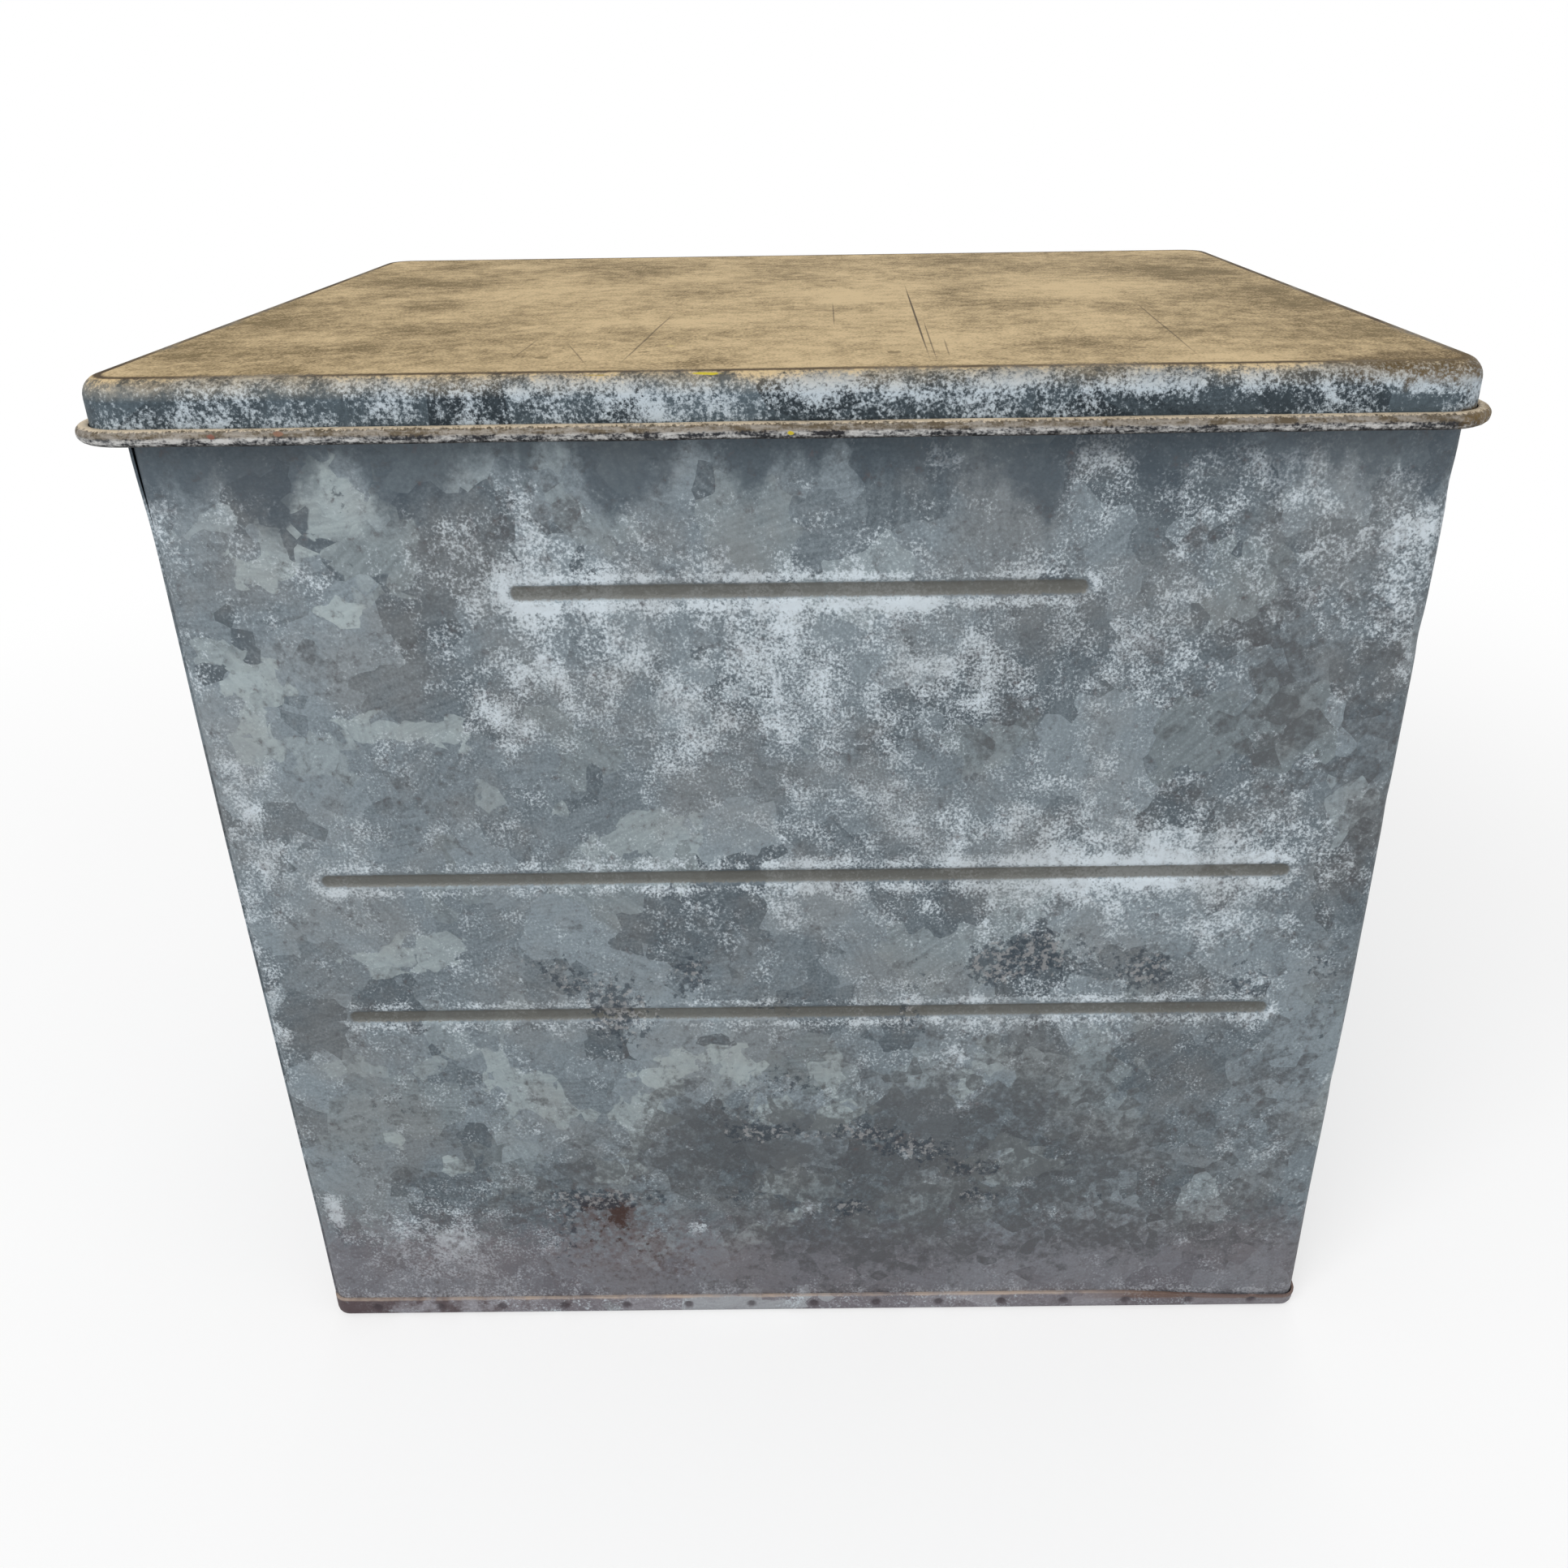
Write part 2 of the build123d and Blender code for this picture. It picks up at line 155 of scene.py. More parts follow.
class CoolerFinish(bpy.types.PropertyGroup):
    """Colours of the worn finishes"""

    zinc_dark: colour("Zinc, dark", "Darker crystals of the weathered zinc", "#555f66")
    zinc_light: colour("Zinc, light", "Lighter crystals of the weathered zinc", "#8c989f")
    flake: colour("Bright crystal", "The few crystals that stand out", "#aab6b8")
    oxide: colour("White oxide", "Chalky bloom on the zinc", "#ccd6dd")
    soot: colour("Soot", "Dark blue-black spots", "#2d3843")
    # Painted shade: this colour darkens the front wall just under the lid in place of the lid's
    # shadow
    painted_shade: colour("Shade", "Dark skin just under the lid, where no rain gets", "#3e4a54")
    dust: colour("Dust", "Brown-grey dust in the bloom", "#85827e")
    grime: colour("Grime", "Brown-grey stain", "#4d4f52")
    groove_dirt: colour("Groove dirt", "Dirt that lies in the pressed grooves", "#5f5e58")
    foot_tint: colour("Foot tint", "Purple-brown stain near the floor", "#7a7278")
    rust: colour("Rust", "Rust that shows through the zinc", "#3d251d")
    rust_thin: colour("Rust, thin", "Red-brown film round the rust", "#635555")
    rust_pale: colour("Pale crust", "Pale crust in the corroded spots", "#a8a8a8")
    tan: colour("Tan patina", "The lid top's patina", "#b49e78")
    tan_dark: colour("Dark patina", "Smudges in the patina", "#776645")
    tan_light: colour("Light patina", "Worn places in the patina", "#d4bc92")
    crease: colour("Crease", "Dirt along the lid's crease", "#3f3122")
    board: colour("Fibre board", "Brown fibre board", "#8b6f4e")


def node(tree, kind, inputs=(), **settings):
    """Add a node with its settings, and its inputs as values, colour codes, sockets or nodes.

    Inputs without names go to the sockets that the settings leave open, in their order."""
    made = tree.nodes.new(kind if "Node" in kind else "ShaderNode" + kind)
    for name, value in settings.items():
        setattr(made, name, value)
    if isinstance(inputs, dict):
        pairs = [(made.inputs[key], value) for key, value in inputs.items()]
    else:
        pairs = zip([socket for socket in made.inputs if socket.enabled], inputs)
    for socket, value in pairs:
        if isinstance(value, bpy.types.Node):
            value = next(out for out in value.outputs if out.enabled)
        if isinstance(value, bpy.types.NodeSocket):
            tree.links.new(value, socket)
        elif socket.type == "RGBA":
            socket.default_value = (*(linear(value) if isinstance(value, str) else value), 1)
        else:
            socket.default_value = value
    made.location = (220 * (len(tree.nodes) % 12), -260 * (len(tree.nodes) // 12))
    return made


def add_up(tree, first, *more):
    """Add patterns up, each after the first with its weight."""
    for pattern, weight in more:
        first = node(tree, "Math", (pattern, weight, first), operation="MULTIPLY_ADD")
    return first


def strongest(tree, amounts):
    """The largest of several amounts."""
    return functools.reduce(lambda a, b: node(tree, "Math", (a, b), operation="MAXIMUM"), amounts)


def amount(tree, start, end, most, first, *more, least=0.0, soft=False):
    """Turn patterns that are added up into an amount: the least at start, the most at end."""
    return node(
        tree, "MapRange", (add_up(tree, first, *more), start, end, least, most),
        interpolation_type="SMOOTHSTEP" if soft else "LINEAR")


def lay(tree, coat, tint, start, end, most, first, *more, times=None, **kind):
    """Lay a colour over the coat in the amount that the patterns give, times another amount."""
    where = amount(tree, start, end, most, first, *more, **kind)
    if times is not None:
        where = node(tree, "Math", (where, times), operation="MULTIPLY")
    return node(tree, "Mix", (where, coat, tint), data_type="RGBA")


def how_far(tree, place, middle, reach, turn=0.0):
    """Distance from a middle in shares of the reach on each side, with both in mm."""
    mapped = node(tree, "Mapping", {
        "Vector": place, "Location": [c * MM for c in middle], "Rotation": (0, 0, turn),
        "Scale": [c * MM for c in reach]}, vector_type="TEXTURE")
    return node(tree, "VectorMath", (mapped,), operation="LENGTH")


def off_line(tree, value, line):
    """How far a value is from a line, on either side of it."""
    value = node(tree, "Math", (value, line), operation="SUBTRACT")
    return node(tree, "Math", (value,), operation="ABSOLUTE")


def new_material(name):
    """Start a material, with the place on the object that its patterns read."""
    material = bpy.data.materials.new(name)
    material.use_nodes = True
    tree = material.node_tree
    tree.nodes.clear()
    return material, tree, node(tree, "TexCoord").outputs["Object"]


def close_material(tree, coat, rough, metal, height, strength, distance, specular=0.5):
    """End a material in its shader, with the relief of a height pattern."""
    relief = node(
        tree, "Bump", {"Strength": strength, "Distance": distance * MM, "Height": height})
    shader = node(tree, "BsdfPrincipled", {
        "Base Color": coat, "Roughness": rough, "Metallic": metal, "Normal": relief,
        "Specular IOR Level": specular})
    node(tree, "OutputMaterial", (shader,))


def new_group(name, inputs, outputs):
    """Start a shader node group with its sockets."""
    tree = bpy.data.node_groups.new(name, "ShaderNodeTree")
    for way, sockets in (("INPUT", inputs), ("OUTPUT", outputs)):
        for label, kind in sockets.items():
            tree.interface.new_socket(label, in_out=way, socket_type="NodeSocket" + kind)
    return tree, node(tree, "NodeGroupInput").outputs


def crystal_edges():
    """A place moved to small facets 5.5 mm across, so that what is drawn on it gets jagged edges,
    and each facet's chance number."""
    if "crystal_edges" in bpy.data.node_groups:
        return bpy.data.node_groups["crystal_edges"]
    tree, given = new_group(
        "crystal_edges", {"Vector": "Vector"}, {"Vector": "Vector", "Chance": "Float"})
    warp = node(tree, "TexNoise", (given["Vector"], 1 / (14 * MM), 0.0)).outputs["Color"]
    warp = node(tree, "VectorMath", (warp, (0.5,) * 3), operation="SUBTRACT")
    warped = node(
        tree, "VectorMath", (warp, (6 * MM,) * 3, given["Vector"]), operation="MULTIPLY_ADD")
    facets = node(tree, "TexVoronoi", (warped, 1 / FACET)).outputs
    jagged = node(tree, "Mix", (0.85, warped, facets["Position"]), data_type="VECTOR")
    node(tree, "NodeGroupOutput", (jagged, node(tree, "SeparateColor", (facets["Color"],))))
    return tree


def zinc_skin():
    """Hot-dip zinc: crystals 21 mm across with jagged edges, each a little lighter or darker and
    brushed its own way, under a chalky white bloom. The bloom's grain is drawn at 0.8 mm, coarser
    than it is, so that it shows."""
    if "zinc_skin" in bpy.data.node_groups:
        return bpy.data.node_groups["zinc_skin"]
    tree, given = new_group(
        "zinc_skin",
        {"Vector": "Vector", "Jagged": "Vector", "Dark": "Color", "Light": "Color",
         "Oxide": "Color", "Bloom": "Float", "Flakes": "Float", "Flake": "Color"},
        {"Color": "Color", "Bloom": "Float", "Grain": "Float"})
    crystals = node(tree, "TexVoronoi", (given["Jagged"], 1 / CRYSTAL)).outputs["Color"]
    chance = node(tree, "SeparateColor", (crystals,)).outputs
    # Brush lines 11 mm long and 1.1 mm apart, which is coarser than the real ones, so that they
    # show, each crystal's turned by its own angle
    turn = node(tree, "Math", (chance[1], 6.28), operation="MULTIPLY")
    turned = node(
        tree, "VectorRotate", {"Vector": given["Vector"], "Axis": (0.7, 0.7, 0.1), "Angle": turn})
    stretched = node(tree, "VectorMath", (turned, (90.0, 90.0, 900.0)), operation="MULTIPLY")
    brush = node(tree, "TexNoise", (stretched, 1.0, 1.0, 0.5))
    grain = node(tree, "TexNoise", (given["Vector"], 1 / GRAIN, 2.0, 0.7))
    patch = node(tree, "TexNoise", (given["Vector"], 1 / (9 * MM), 2.0, 0.6))
    tone = add_up(tree, -0.915, (chance[0], 0.82), (brush, 0.7), (grain, 1.3))
    coat = node(tree, "Mix", (tone, given["Dark"], given["Light"]), data_type="RGBA")
    # About one crystal in eight stands out by itself, and others where they are asked for
    bright = strongest(tree, (amount(tree, 0.87, 0.88, 0.3, chance[2]), given["Flakes"]))
    lines = amount(tree, 0.3, 0.7, 1.0, brush, least=0.7)
    bright = node(tree, "Math", (bright, lines), operation="MULTIPLY", use_clamp=True)
    coat = node(tree, "Mix", (bright, coat, given["Flake"]), data_type="RGBA")
    # The bloom is where its amount, a 9 mm patchiness, the crystal's own part and the grain add up
    chalk = amount(
        tree, 1.9, 2.5, 0.95, given["Bloom"], (patch, 1.4), (chance[1], 0.25), (grain, 1.8),
        soft=True)
    coat = node(tree, "Mix", (chalk, coat, given["Oxide"]), data_type="RGBA")
    node(tree, "NodeGroupOutput", {"Color": coat, "Bloom": chalk, "Grain": grain})
    return tree


def add_skin(tree, finish, place, jagged, bloom, **own):
    """Put the zinc skin in a material, in its usual colours where it has none of its own."""
    return node(tree, "Group", {
        "Vector": place, "Jagged": jagged, "Dark": finish.zinc_dark, "Light": finish.zinc_light,
        "Oxide": finish.oxide, "Bloom": bloom, "Flake": finish.flake, **own,
    }, node_tree=zinc_skin()).outputs


# Crystals that stand out on the front wall, in mm: x, z, half width, half height, turn in degrees,
# and how bright
FLAKES = (
    (-111, 272, 12, 10, 0, 0.8), (-104, 263, 9, 12, 20, 0.4), (-114, 281, 5, 5, 0, 1.0),
    (-133, 258, 6, 5, 0, 0.8), (-129, 264, 4, 5, 0, 0.5), (-115, 246, 5, 4, 0, 1.0),
    (-148, 237, 6, 4, 0, 0.5), (-141, 228, 7, 6, 0, 0.8), (-143, 217, 5, 9, 0, 0.8),
    (-146, 209, 5, 6, 0, 0.6), (-127, 207, 10, 6, 35, 0.35), (-109, 214, 11, 4, 6, 0.7),
    (-93, 213, 7, 4, 0, 0.7), (-84, 194, 4, 4, 0, 0.5), (-66, 190, 3, 2, 0, 0.6),
    (-47, 182, 12, 5, -35, 0.6), (-34, 176, 6, 12, 0, 0.5), (-118, 142, 11, 5, -8, 0.7),
    (-105, 146, 9, 5, 0, 0.6), (-45, 99, 9, 5, -25, 1.0), (-38, 104, 6, 4, 0, 0.9),
    (-22, 103, 7, 7, 0, 1.0), (-92, 100, 5, 12, -10, 0.7), (-81, 91, 13, 7, 38, 0.7),
    (-144, 102, 8, 2.5, -10, 0.5), (-132, 103, 6, 3, 20, 0.5), (-113, 104, 6, 3, -30, 0.5),
    (-50, 84, 9, 9, -40, 0.75), (-60, 62, 7, 6, -20, 0.8), (-12, 84, 8, 5, -35, 0.8),
    (-128, 76, 3, 3, 0, 1.0), (-112, 65, 4, 4, 0, 0.9), (-94, 66, 10, 14, 0, 0.25),
    (-8, 56, 10, 7, 0, 0.6), (-6, 42, 9, 3.5, -25, 0.8), (-116, 32, 4, 5, -40, 0.7),
    (5, 98, 6, 7, 0, 0.8), (9, 83, 8, 5, -30, 0.9), (33, 99, 9, 8, 0, 0.3), (47, 94, 4, 8, 20, 0.7),
    (55, 103, 6, 8, 0, 0.5), (84, 94, 14, 16, 0, 0.35), (94, 82, 10, 10, 0, 0.3),
    (66, 66, 12, 7, 0, 0.7), (60, 57, 8, 4, 0, 0.7), (36, 48, 8, 14, 45, 0.45),
    (2, 54, 9, 8, 0, 0.35), (52, 42, 6, 4, 0, 0.35), (-21, 33, 8, 4, -30, 0.6),
    (17, 38, 7, 3, 20, 0.5), (41, 30, 9, 4, 0, 0.35), (-52, 30, 8, 5, 20, 0.35),
)

# White bloom on the front wall, with painted highlights in it: a strip down the left edge and
# glints on
# the small dents. In mm: x, z, half width, half height and amount
BLOOM_AND_HIGHLIGHTS = (
    (-75, 265, 16, 14, 0.45), (-40, 262, 40, 12, 0.3), (0, 246, 92, 14, 0.38),
    (-50, 225, 28, 15, 0.4), (0, 224, 42, 24, 0.46), (55, 230, 32, 20, 0.44),
    (92, 226, 14, 26, 0.25), (72, 272, 9, 22, 0.44), (35, 281, 8, 9, 0.35), (103, 272, 18, 12, 0.4),
    (130, 267, 26, 13, 0.48), (151, 262, 8, 20, 0.5), (152, 238, 6, 10, 0.45),
    (156, 228, 2.5, 4, 1.2), (75, 198, 9, 7, 0.55), (22, 196, 20, 12, 0.35), (-80, 219, 5, 4, 0.8),
    (-22, 214, 15, 10, 0.3), (62, 166, 60, 17, 0.35), (0, 158, 30, 12, 0.2),
    # The spots at x from -150 to -156 mm on these three lines paint a highlight strip down the left
    # edge
    (-132, 166, 15, 25, 0.25), (-155, 271, 5, 12, 0.8), (-156, 236, 5, 16, 0.7),
    (-151, 202, 6, 18, 0.55), (-150, 176, 7, 22, 0.4), (-156, 140, 5, 22, 0.55),
    (-156, 108, 4, 25, 0.4), (-10, 121, 52, 12, 0.2), (52, 121, 30, 12, 0.35),
    (102, 121, 28, 12, 0.3), (131, 118, 9, 8, 0.5), (140, 56, 13, 17, 0.35), (-140, 270, 6, 6, 0.3),
    (120, 242, 20, 14, 0.25), (118, 205, 20, 16, 0.15), (-60, 182, 90, 6, 0.2),
    # The small strong spots from (-152, 47) to (-64, 98) are painted glints on the dents
    (0, 215, 70, 40, 0.08), (-128, 28, 34, 18, 0.5), (-152, 47, 2.5, 5, 2.2),
    (-36, 38, 2.5, 3, 1.6), (-1, 46, 3, 4, 1.8), (-116, 33, 5, 4, 1.0), (30, 66, 1.2, 4, 2.0),
    (79, 31, 2, 3, 1.0), (117, 34, 3, 2.5, 1.0), (-42, 20, 4, 4, 0.8), (45, 104, 2.5, 4, 1.2),
    (-64, 98, 2, 3, 1.0), (90, 160, 50, 14, 0.25), (110, 182, 40, 10, 0.2),
    (-95, 150, 40, 10, 0.15), (-104, 50, 30, 6, 0.2), (-75, 232, 22, 30, 0.5),
    (105, 168, 44, 24, 0.56), (0, 182, 60, 10, 0.25), (-110, 26, 30, 16, 0.3),
    (-140, 150, 20, 30, 0.1), (75, 285, 12, 8, 0.5), (125, 283, 22, 6, 0.45),
)

# Small dents in the front wall, in mm: x, z, radius and depth
DENTS = (
    (-152, 48, 5, 0.5), (-36, 37, 4, 0.4), (-2, 45, 5, 0.6), (-116, 32, 6, 0.5), (30, 65, 4, 0.5),
    (79, 30, 4, 0.4), (117, 33, 4, 0.3), (-62, 102, 4, 0.3), (45, 103, 4, 0.35), (-42, 19, 4, 0.35),
    (131, 62, 14, 0.5), (-70, 42, 9, 0.4), (-20, 150, 12, 0.3), (96, 250, 8, 0.3),
)

# Corroded spots on the front wall, in mm: x, z, half width, half height and amount
CORROSION = (
    (-55, 123, 12, 15, 1.0), (-33, 136, 6, 8, 1.0), (-70, 134, 7, 6, 0.7), (-10, 124, 10, 8, 0.6),
    (-6, 97, 12, 7, 0.7), (66, 140, 26, 9, 0.75), (95, 132, 10, 8, 0.6), (127, 131, 9, 8, 0.8),
    (148, 137, 8, 6, 0.6), (31, 130, 4, 14, 0.5), (-14, 76, 14, 4, 1.1), (16, 76, 12, 4, 1.2),
    (34, 69, 13, 5, 1.1), (52, 61, 12, 4, 0.9), (52, 50, 9, 3, 1.2), (12, 45, 6, 3, 1.0),
    (-66, 49, 13, 4, 1.1), (-48, 51, 4, 2, 1.0), (-24, 49, 5, 6, 0.8), (90, 49, 3, 2, 1.0),
    (-100, 52, 20, 3, 0.6), (-68, 52, 10, 2.5, 1.3), (-78, 42, 3, 8, 0.8), (-80, 28, 8, 8, 0.6),
    (54, 137, 7, 7, 0.9), (66, 143, 6, 6, 0.9), (30, 118, 5, 8, 0.6), (100, 136, 5, 5, 0.9),
    (-78, 140, 6, 4, 0.6), (120, 112, 10, 8, 0.4), (150, 110, 6, 20, 0.5), (-140, 120, 8, 8, 0.3),
    (-110, 276, 4, 5, 0.7), (12, 45, 4, 3, 1.3), (-130, 90, 20, 8, 0.4), (-22, 84, 12, 5, 0.6),
)

# Rust that shows through, in mm: x, z, half width, half height and amount
RUST = (
    (-67, 42, 13, 12, 0.5), (-61.5, 45, 2.8, 5.0, 0.8), (-71.5, 48, 3.2, 1.7, 0.75),
    (-66, 49.2, 5, 1.4, 0.6), (-59.5, 47, 2.4, 2.0, 0.5), (-52, 30, 12, 14, 0.3),
    (-76, 24, 10, 12, 0.3), (-120, 20, 30, 14, 0.25), (-40, 22, 30, 14, 0.28),
    (134, 87, 3, 3, 0.35), (24, 72, 14, 4, 0.4), (50, 60, 10, 3, 0.35),
)

# Dark brown-grey stain on the front wall, in mm: x, z, half width, half height and amount
GRIME = (
    (97, 262, 4, 6, 0.6), (88, 236, 5, 6, 0.5), (102, 222, 5, 5, 0.55), (120, 240, 12, 18, 0.4),
    (126, 214, 14, 16, 0.55), (122, 205, 4, 4, 0.5), (58, 216, 6, 8, 0.4), (48, 206, 6, 6, 0.5),
    (97, 212, 5, 5, 0.4), (40, 184, 3, 3, 0.5), (150, 215, 9, 40, 0.25), (152, 180, 10, 40, 0.25),
    (105, 195, 10, 8, 0.3), (-62, 270, 18, 9, 0.4), (20, 212, 16, 6, 0.2), (-112, 196, 14, 10, 0.2),
    (-38, 86, 12, 12, 0.4), (-20, 72, 26, 12, 0.4), (70, 58, 30, 18, 0.35), (70, 30, 46, 10, 0.45),
    (-8, 35, 30, 14, 0.36), (25, 44, 25, 11, 0.26), (118, 34, 30, 9, 0.4), (-100, 62, 30, 9, 0.3),
    (-60, 62, 20, 8, 0.3), (35, 86, 12, 14, 0.35), (142, 100, 16, 40, 0.3), (-95, 45, 30, 9, 0.35),
    (-130, 120, 20, 10, 0.15), (75, 100, 20, 14, 0.2), (-55, 118, 10, 14, 0.3),
    (110, 160, 26, 20, 0.1), (-100, 235, 12, 10, 0.25), (-125, 236, 9, 8, 0.3),
    (30, 22, 26, 8, 0.4), (-10, 12, 60, 4, 0.2), (60, 85, 50, 30, 0.28), (0, 66, 54, 26, 0.55),
    (100, 66, 50, 30, 0.25), (-110, 88, 30, 12, 0.2),
)

# Scratches on the lid's top, in mm: x, y at both ends, half width, and how dark
SCRATCHES = (
    (32, -124, 34.5, 33, 0.35, 0.9), (33.5, -124, 35, -52, 0.25, 0.65),
    (10, -66, 10, -12, 0.25, 0.6), (-42, -124, -36.5, -30, 0.35, 0.6),
    (95.5, -124, 101, -12, 0.3, 0.6), (-69, -114, -68, -76, 0.25, 0.5),
    (37, -116, 38, -86, 0.25, 0.5), (-49, -121, -60, -84, 0.25, 0.5), (65, -105, 78, -60, 0.2, 0.3),
)

# Smudges in the lid's patina, in mm: x, y, half width, half depth and amount, light ones below zero
SMUDGES = (
    (-120, 50, 30, 12, 0.5), (-138, -8, 28, 14, 0.6), (-116, -15, 8, 7, 0.4), (48, 7, 7, 11, 1.0),
    (125, 42, 7, 12, 0.6), (-70, -82, 9, 6, 0.9), (-28, -72, 10, 7, 0.9), (-48, -64, 14, 6, 0.5),
    (150, -28, 10, 14, 0.9), (62, -62, 12, 7, 0.6), (-20, -119, 12, 7, 0.7),
    (112, -72, 24, 14, 0.5), (-128, -50, 9, 7, 0.6), (-92, -50, 10, 16, 0.4), (-8, -8, 5, 12, 0.4),
    (0, 95, 60, 26, 0.3), (60, -20, 20, 7, 0.4), (-127, 28, 9, 6, -0.9), (-130, 4, 7, 6, -0.8),
    (30, -32, 5, 12, -0.5), (-30, -50, 30, 9, -0.4), (0, 30, 60, 30, -0.25),
    (-152, -99, 12, 5, 0.8), (75, -95, 10, 6, 0.4), (115, -110, 16, 5, 0.6),
    (-148, 95, 8, 20, -0.2), (40, -85, 40, 14, -0.3), (0, -20, 90, 70, -0.6),
    (0, -105, 110, 18, -0.3), (135, -50, 34, 50, 0.3), (-146, 0, 24, 120, 0.5),
    (146, 20, 20, 120, 0.5), (-60, 60, 14, 14, 0.3), (90, 80, 30, 30, 0.2),
    (-100, 110, 40, 14, 0.2),
)

# Small pits in the lid's top, in mm: x, y and radius
PITS = (
    (-146, -99, 4.0), (-101, -98, 3.2), (-96, -98, 2.2), (-38, -101, 2.4), (24, -107, 2.4),
    (85, -105, 2.2), (137, -102, 2.0), (146, -103, 1.8), (-62, -108, 2.2), (-15, -84, 1.6),
)


def spread(low, high, step, fine=()):
    """Places from low to high about a step apart, finer round each (middle, reach, step)."""
    count = max(1, round((high - low) / step))
    places = [low + (high - low) * k / count for k in range(1, count)]
    for middle, reach, pitch in fine:
        places = [p for p in places if abs(p - middle) > reach + pitch / 2]
        half = round(reach / pitch)
        places += [middle + k * reach / half for k in range(-half, half + 1)]
    return [low] + sorted(p for p in places if low < p < high) + [high]


def share(places):
    """Turn lengths into shares of the longest one."""
    return [p / places[-1] for p in places]


def plan_columns(front, right, back, left, turns):
    """Where the upright lines of a rounded box stand, counter-clockwise from the front left corner.

    Each has a place on the square from -1 to 1 and the direction that it faces, in degrees."""
    columns = []
    for places, facing in (
        ([(t, -1.0) for t in front], -90.0), ([(1.0, t) for t in right], 0.0),
        ([(t, 1.0) for t in reversed(back)], 90.0), ([(-1.0, t) for t in reversed(left)], 180.0),
    ):
        columns += [(place, facing) for place in places]
        columns += [(places[-1], facing + 90 * k / turns) for k in range(1, turns)]
    return columns


class Sheet:
    """Points and faces of one side of a bent sheet."""

    def __init__(self):
        self.points, self.faces, self.outward, self.run, self.marks = [], [], [], [], {}

    def row(self, places, outward=(), run=0.0):
        """Add a row of points with the ways out of the sheet and the distance down the sheet."""
        start = len(self.points)
        self.points += [Vector(place) for place in places]
        self.outward += outward or [Vector() for place in places]
        self.run += [run] * len(places)
        return list(range(start, len(self.points)))

    def ring(self, columns, half_x, half_y, corner, height, run=0.0, middle=0.0):
        """Add one closed row of points round a rounded rectangle."""
        turns = [math.radians(facing) for _, facing in columns]
        outward = [Vector((math.cos(turn), math.sin(turn), 0)) for turn in turns]
        half_x, half_y = half_x - corner, half_y - corner
        return self.row([
            (middle + x * half_x + out.x * corner, y * half_y + out.y * corner, height)
            for ((x, y), _), out in zip(columns, outward)], outward, run)

    def join(self, rows, keep=lambda k: True):
        """Put faces between each row and the next, at the places that are kept."""
        for upper, lower in zip(rows, rows[1:]):
            for k, a in enumerate(upper):
                n = (k + 1) % len(upper)
                if keep(k):
                    self.faces.append((a, lower[k], lower[n], upper[n]))

    def join_open(self, rows):
        """Put faces between rows that don't close."""
        self.join(rows, lambda k: k < len(rows[0]) - 1)

    def plate(self, columns, first, xs, ys, half_x, half_y, height, run, middle):
        """Fill the inside of a row with a grid, whose corners stand at the row's corner middles."""
        grid = {}
        for x in xs:
            row = self.row([(middle + x * half_x, y * half_y, height) for y in ys], run=run)
            grid.update({(round(x, 6), round(y, 6)): n for y, n in zip(ys, row)})
        for a, b in zip(xs, xs[1:]):
            for c, d in zip(ys, ys[1:]):
                corners = ((a, c), (b, c), (b, d), (a, d))
                self.faces.append(tuple(grid[round(x, 6), round(y, 6)] for x, y in corners))
        for k, a in enumerate(first):
            n = (k + 1) % len(first)
            near, far = (grid[tuple(round(t, 6) for t in columns[m][0])] for m in (k, n))
            self.faces.append((near, a, first[n], far) if near != far else (near, a, first[n]))

    def flip(self):
        self.faces = [tuple(reversed(face)) for face in self.faces]

    def build(self, name):
        """Make the piece, with each point's distance down the sheet and other marks kept."""
        mesh = bpy.data.meshes.new(name)
        mesh.from_pydata(self.points, [], self.faces)
        for label, values in {"run": self.run, **self.marks}.items():
            mesh.attributes.new(label, "FLOAT", "POINT").data.foreach_set("value", values)
        piece = bpy.data.objects.new(name, mesh)
        bpy.context.scene.collection.objects.link(piece)
        return piece


def thicken(piece, thickness):
    """Give a bent sheet its thickness, on the side away from its faces' fronts."""
    wall = piece.modifiers.new("sheet", "SOLIDIFY")
    wall.thickness, wall.offset, wall.use_even_offset = thickness, -1, True


def settle(piece, material=None):
    """Turn the modifiers' result into a plain mesh with smooth faces and its material."""
    graph = bpy.context.evaluated_depsgraph_get()
    mesh = bpy.data.meshes.new_from_object(
        piece.evaluated_get(graph), preserve_all_data_layers=True, depsgraph=graph)
    piece.modifiers.clear()
    old, piece.data = piece.data, mesh
    bpy.data.meshes.remove(old)
    mesh.name = piece.name
    if material:
        mesh.materials.clear()
        mesh.materials.append(material)
    mesh.shade_smooth()
    mesh.set_sharp_from_angle(angle=math.radians(SHARP_EDGE))


def blot(x, z, marks):
    """Add up soft round marks at a place on the front wall or the lid's top, in mm."""
    total = 0.0
    for mx, mz, half_x, half_z, strength in marks:
        reach = ((x - mx) / half_x) ** 2 + ((z - mz) / half_z) ** 2
        if reach < 5:
            total += strength * math.exp(-reach * 0.9)
    return total


def ripple(x, y, z, across):
    """Smooth noise from -1 to 1, with bumps this many metres across."""
    return noise.noise(Vector((x, y, z)) / across)


def leaf_at(x, z):
    """How far inside a marked crystal a place on the front lies, and how bright that one is."""
    deepest, light = NO_LEAF
    for k, (mx, mz, half_x, half_z, turn, bright) in enumerate(FLAKES):
        dx, dz = x - mx, z - mz
        if max(abs(dx), abs(dz)) <= FLAKE_REACH:
            c, s = math.cos(math.radians(turn)), math.sin(math.radians(turn))
            u, v = (c * dx - s * dz) / half_x, (s * dx + c * dz) / half_z
            # Five uneven lobes make it like a leaf
            lobes = 1.0 + 0.22 * math.cos(5 * math.atan2(v, u) + 2.1 * k)
            inside = 1.0 - math.hypot(u, v) / lobes
            if inside > deepest:
                deepest, light = inside, bright
    return deepest, light


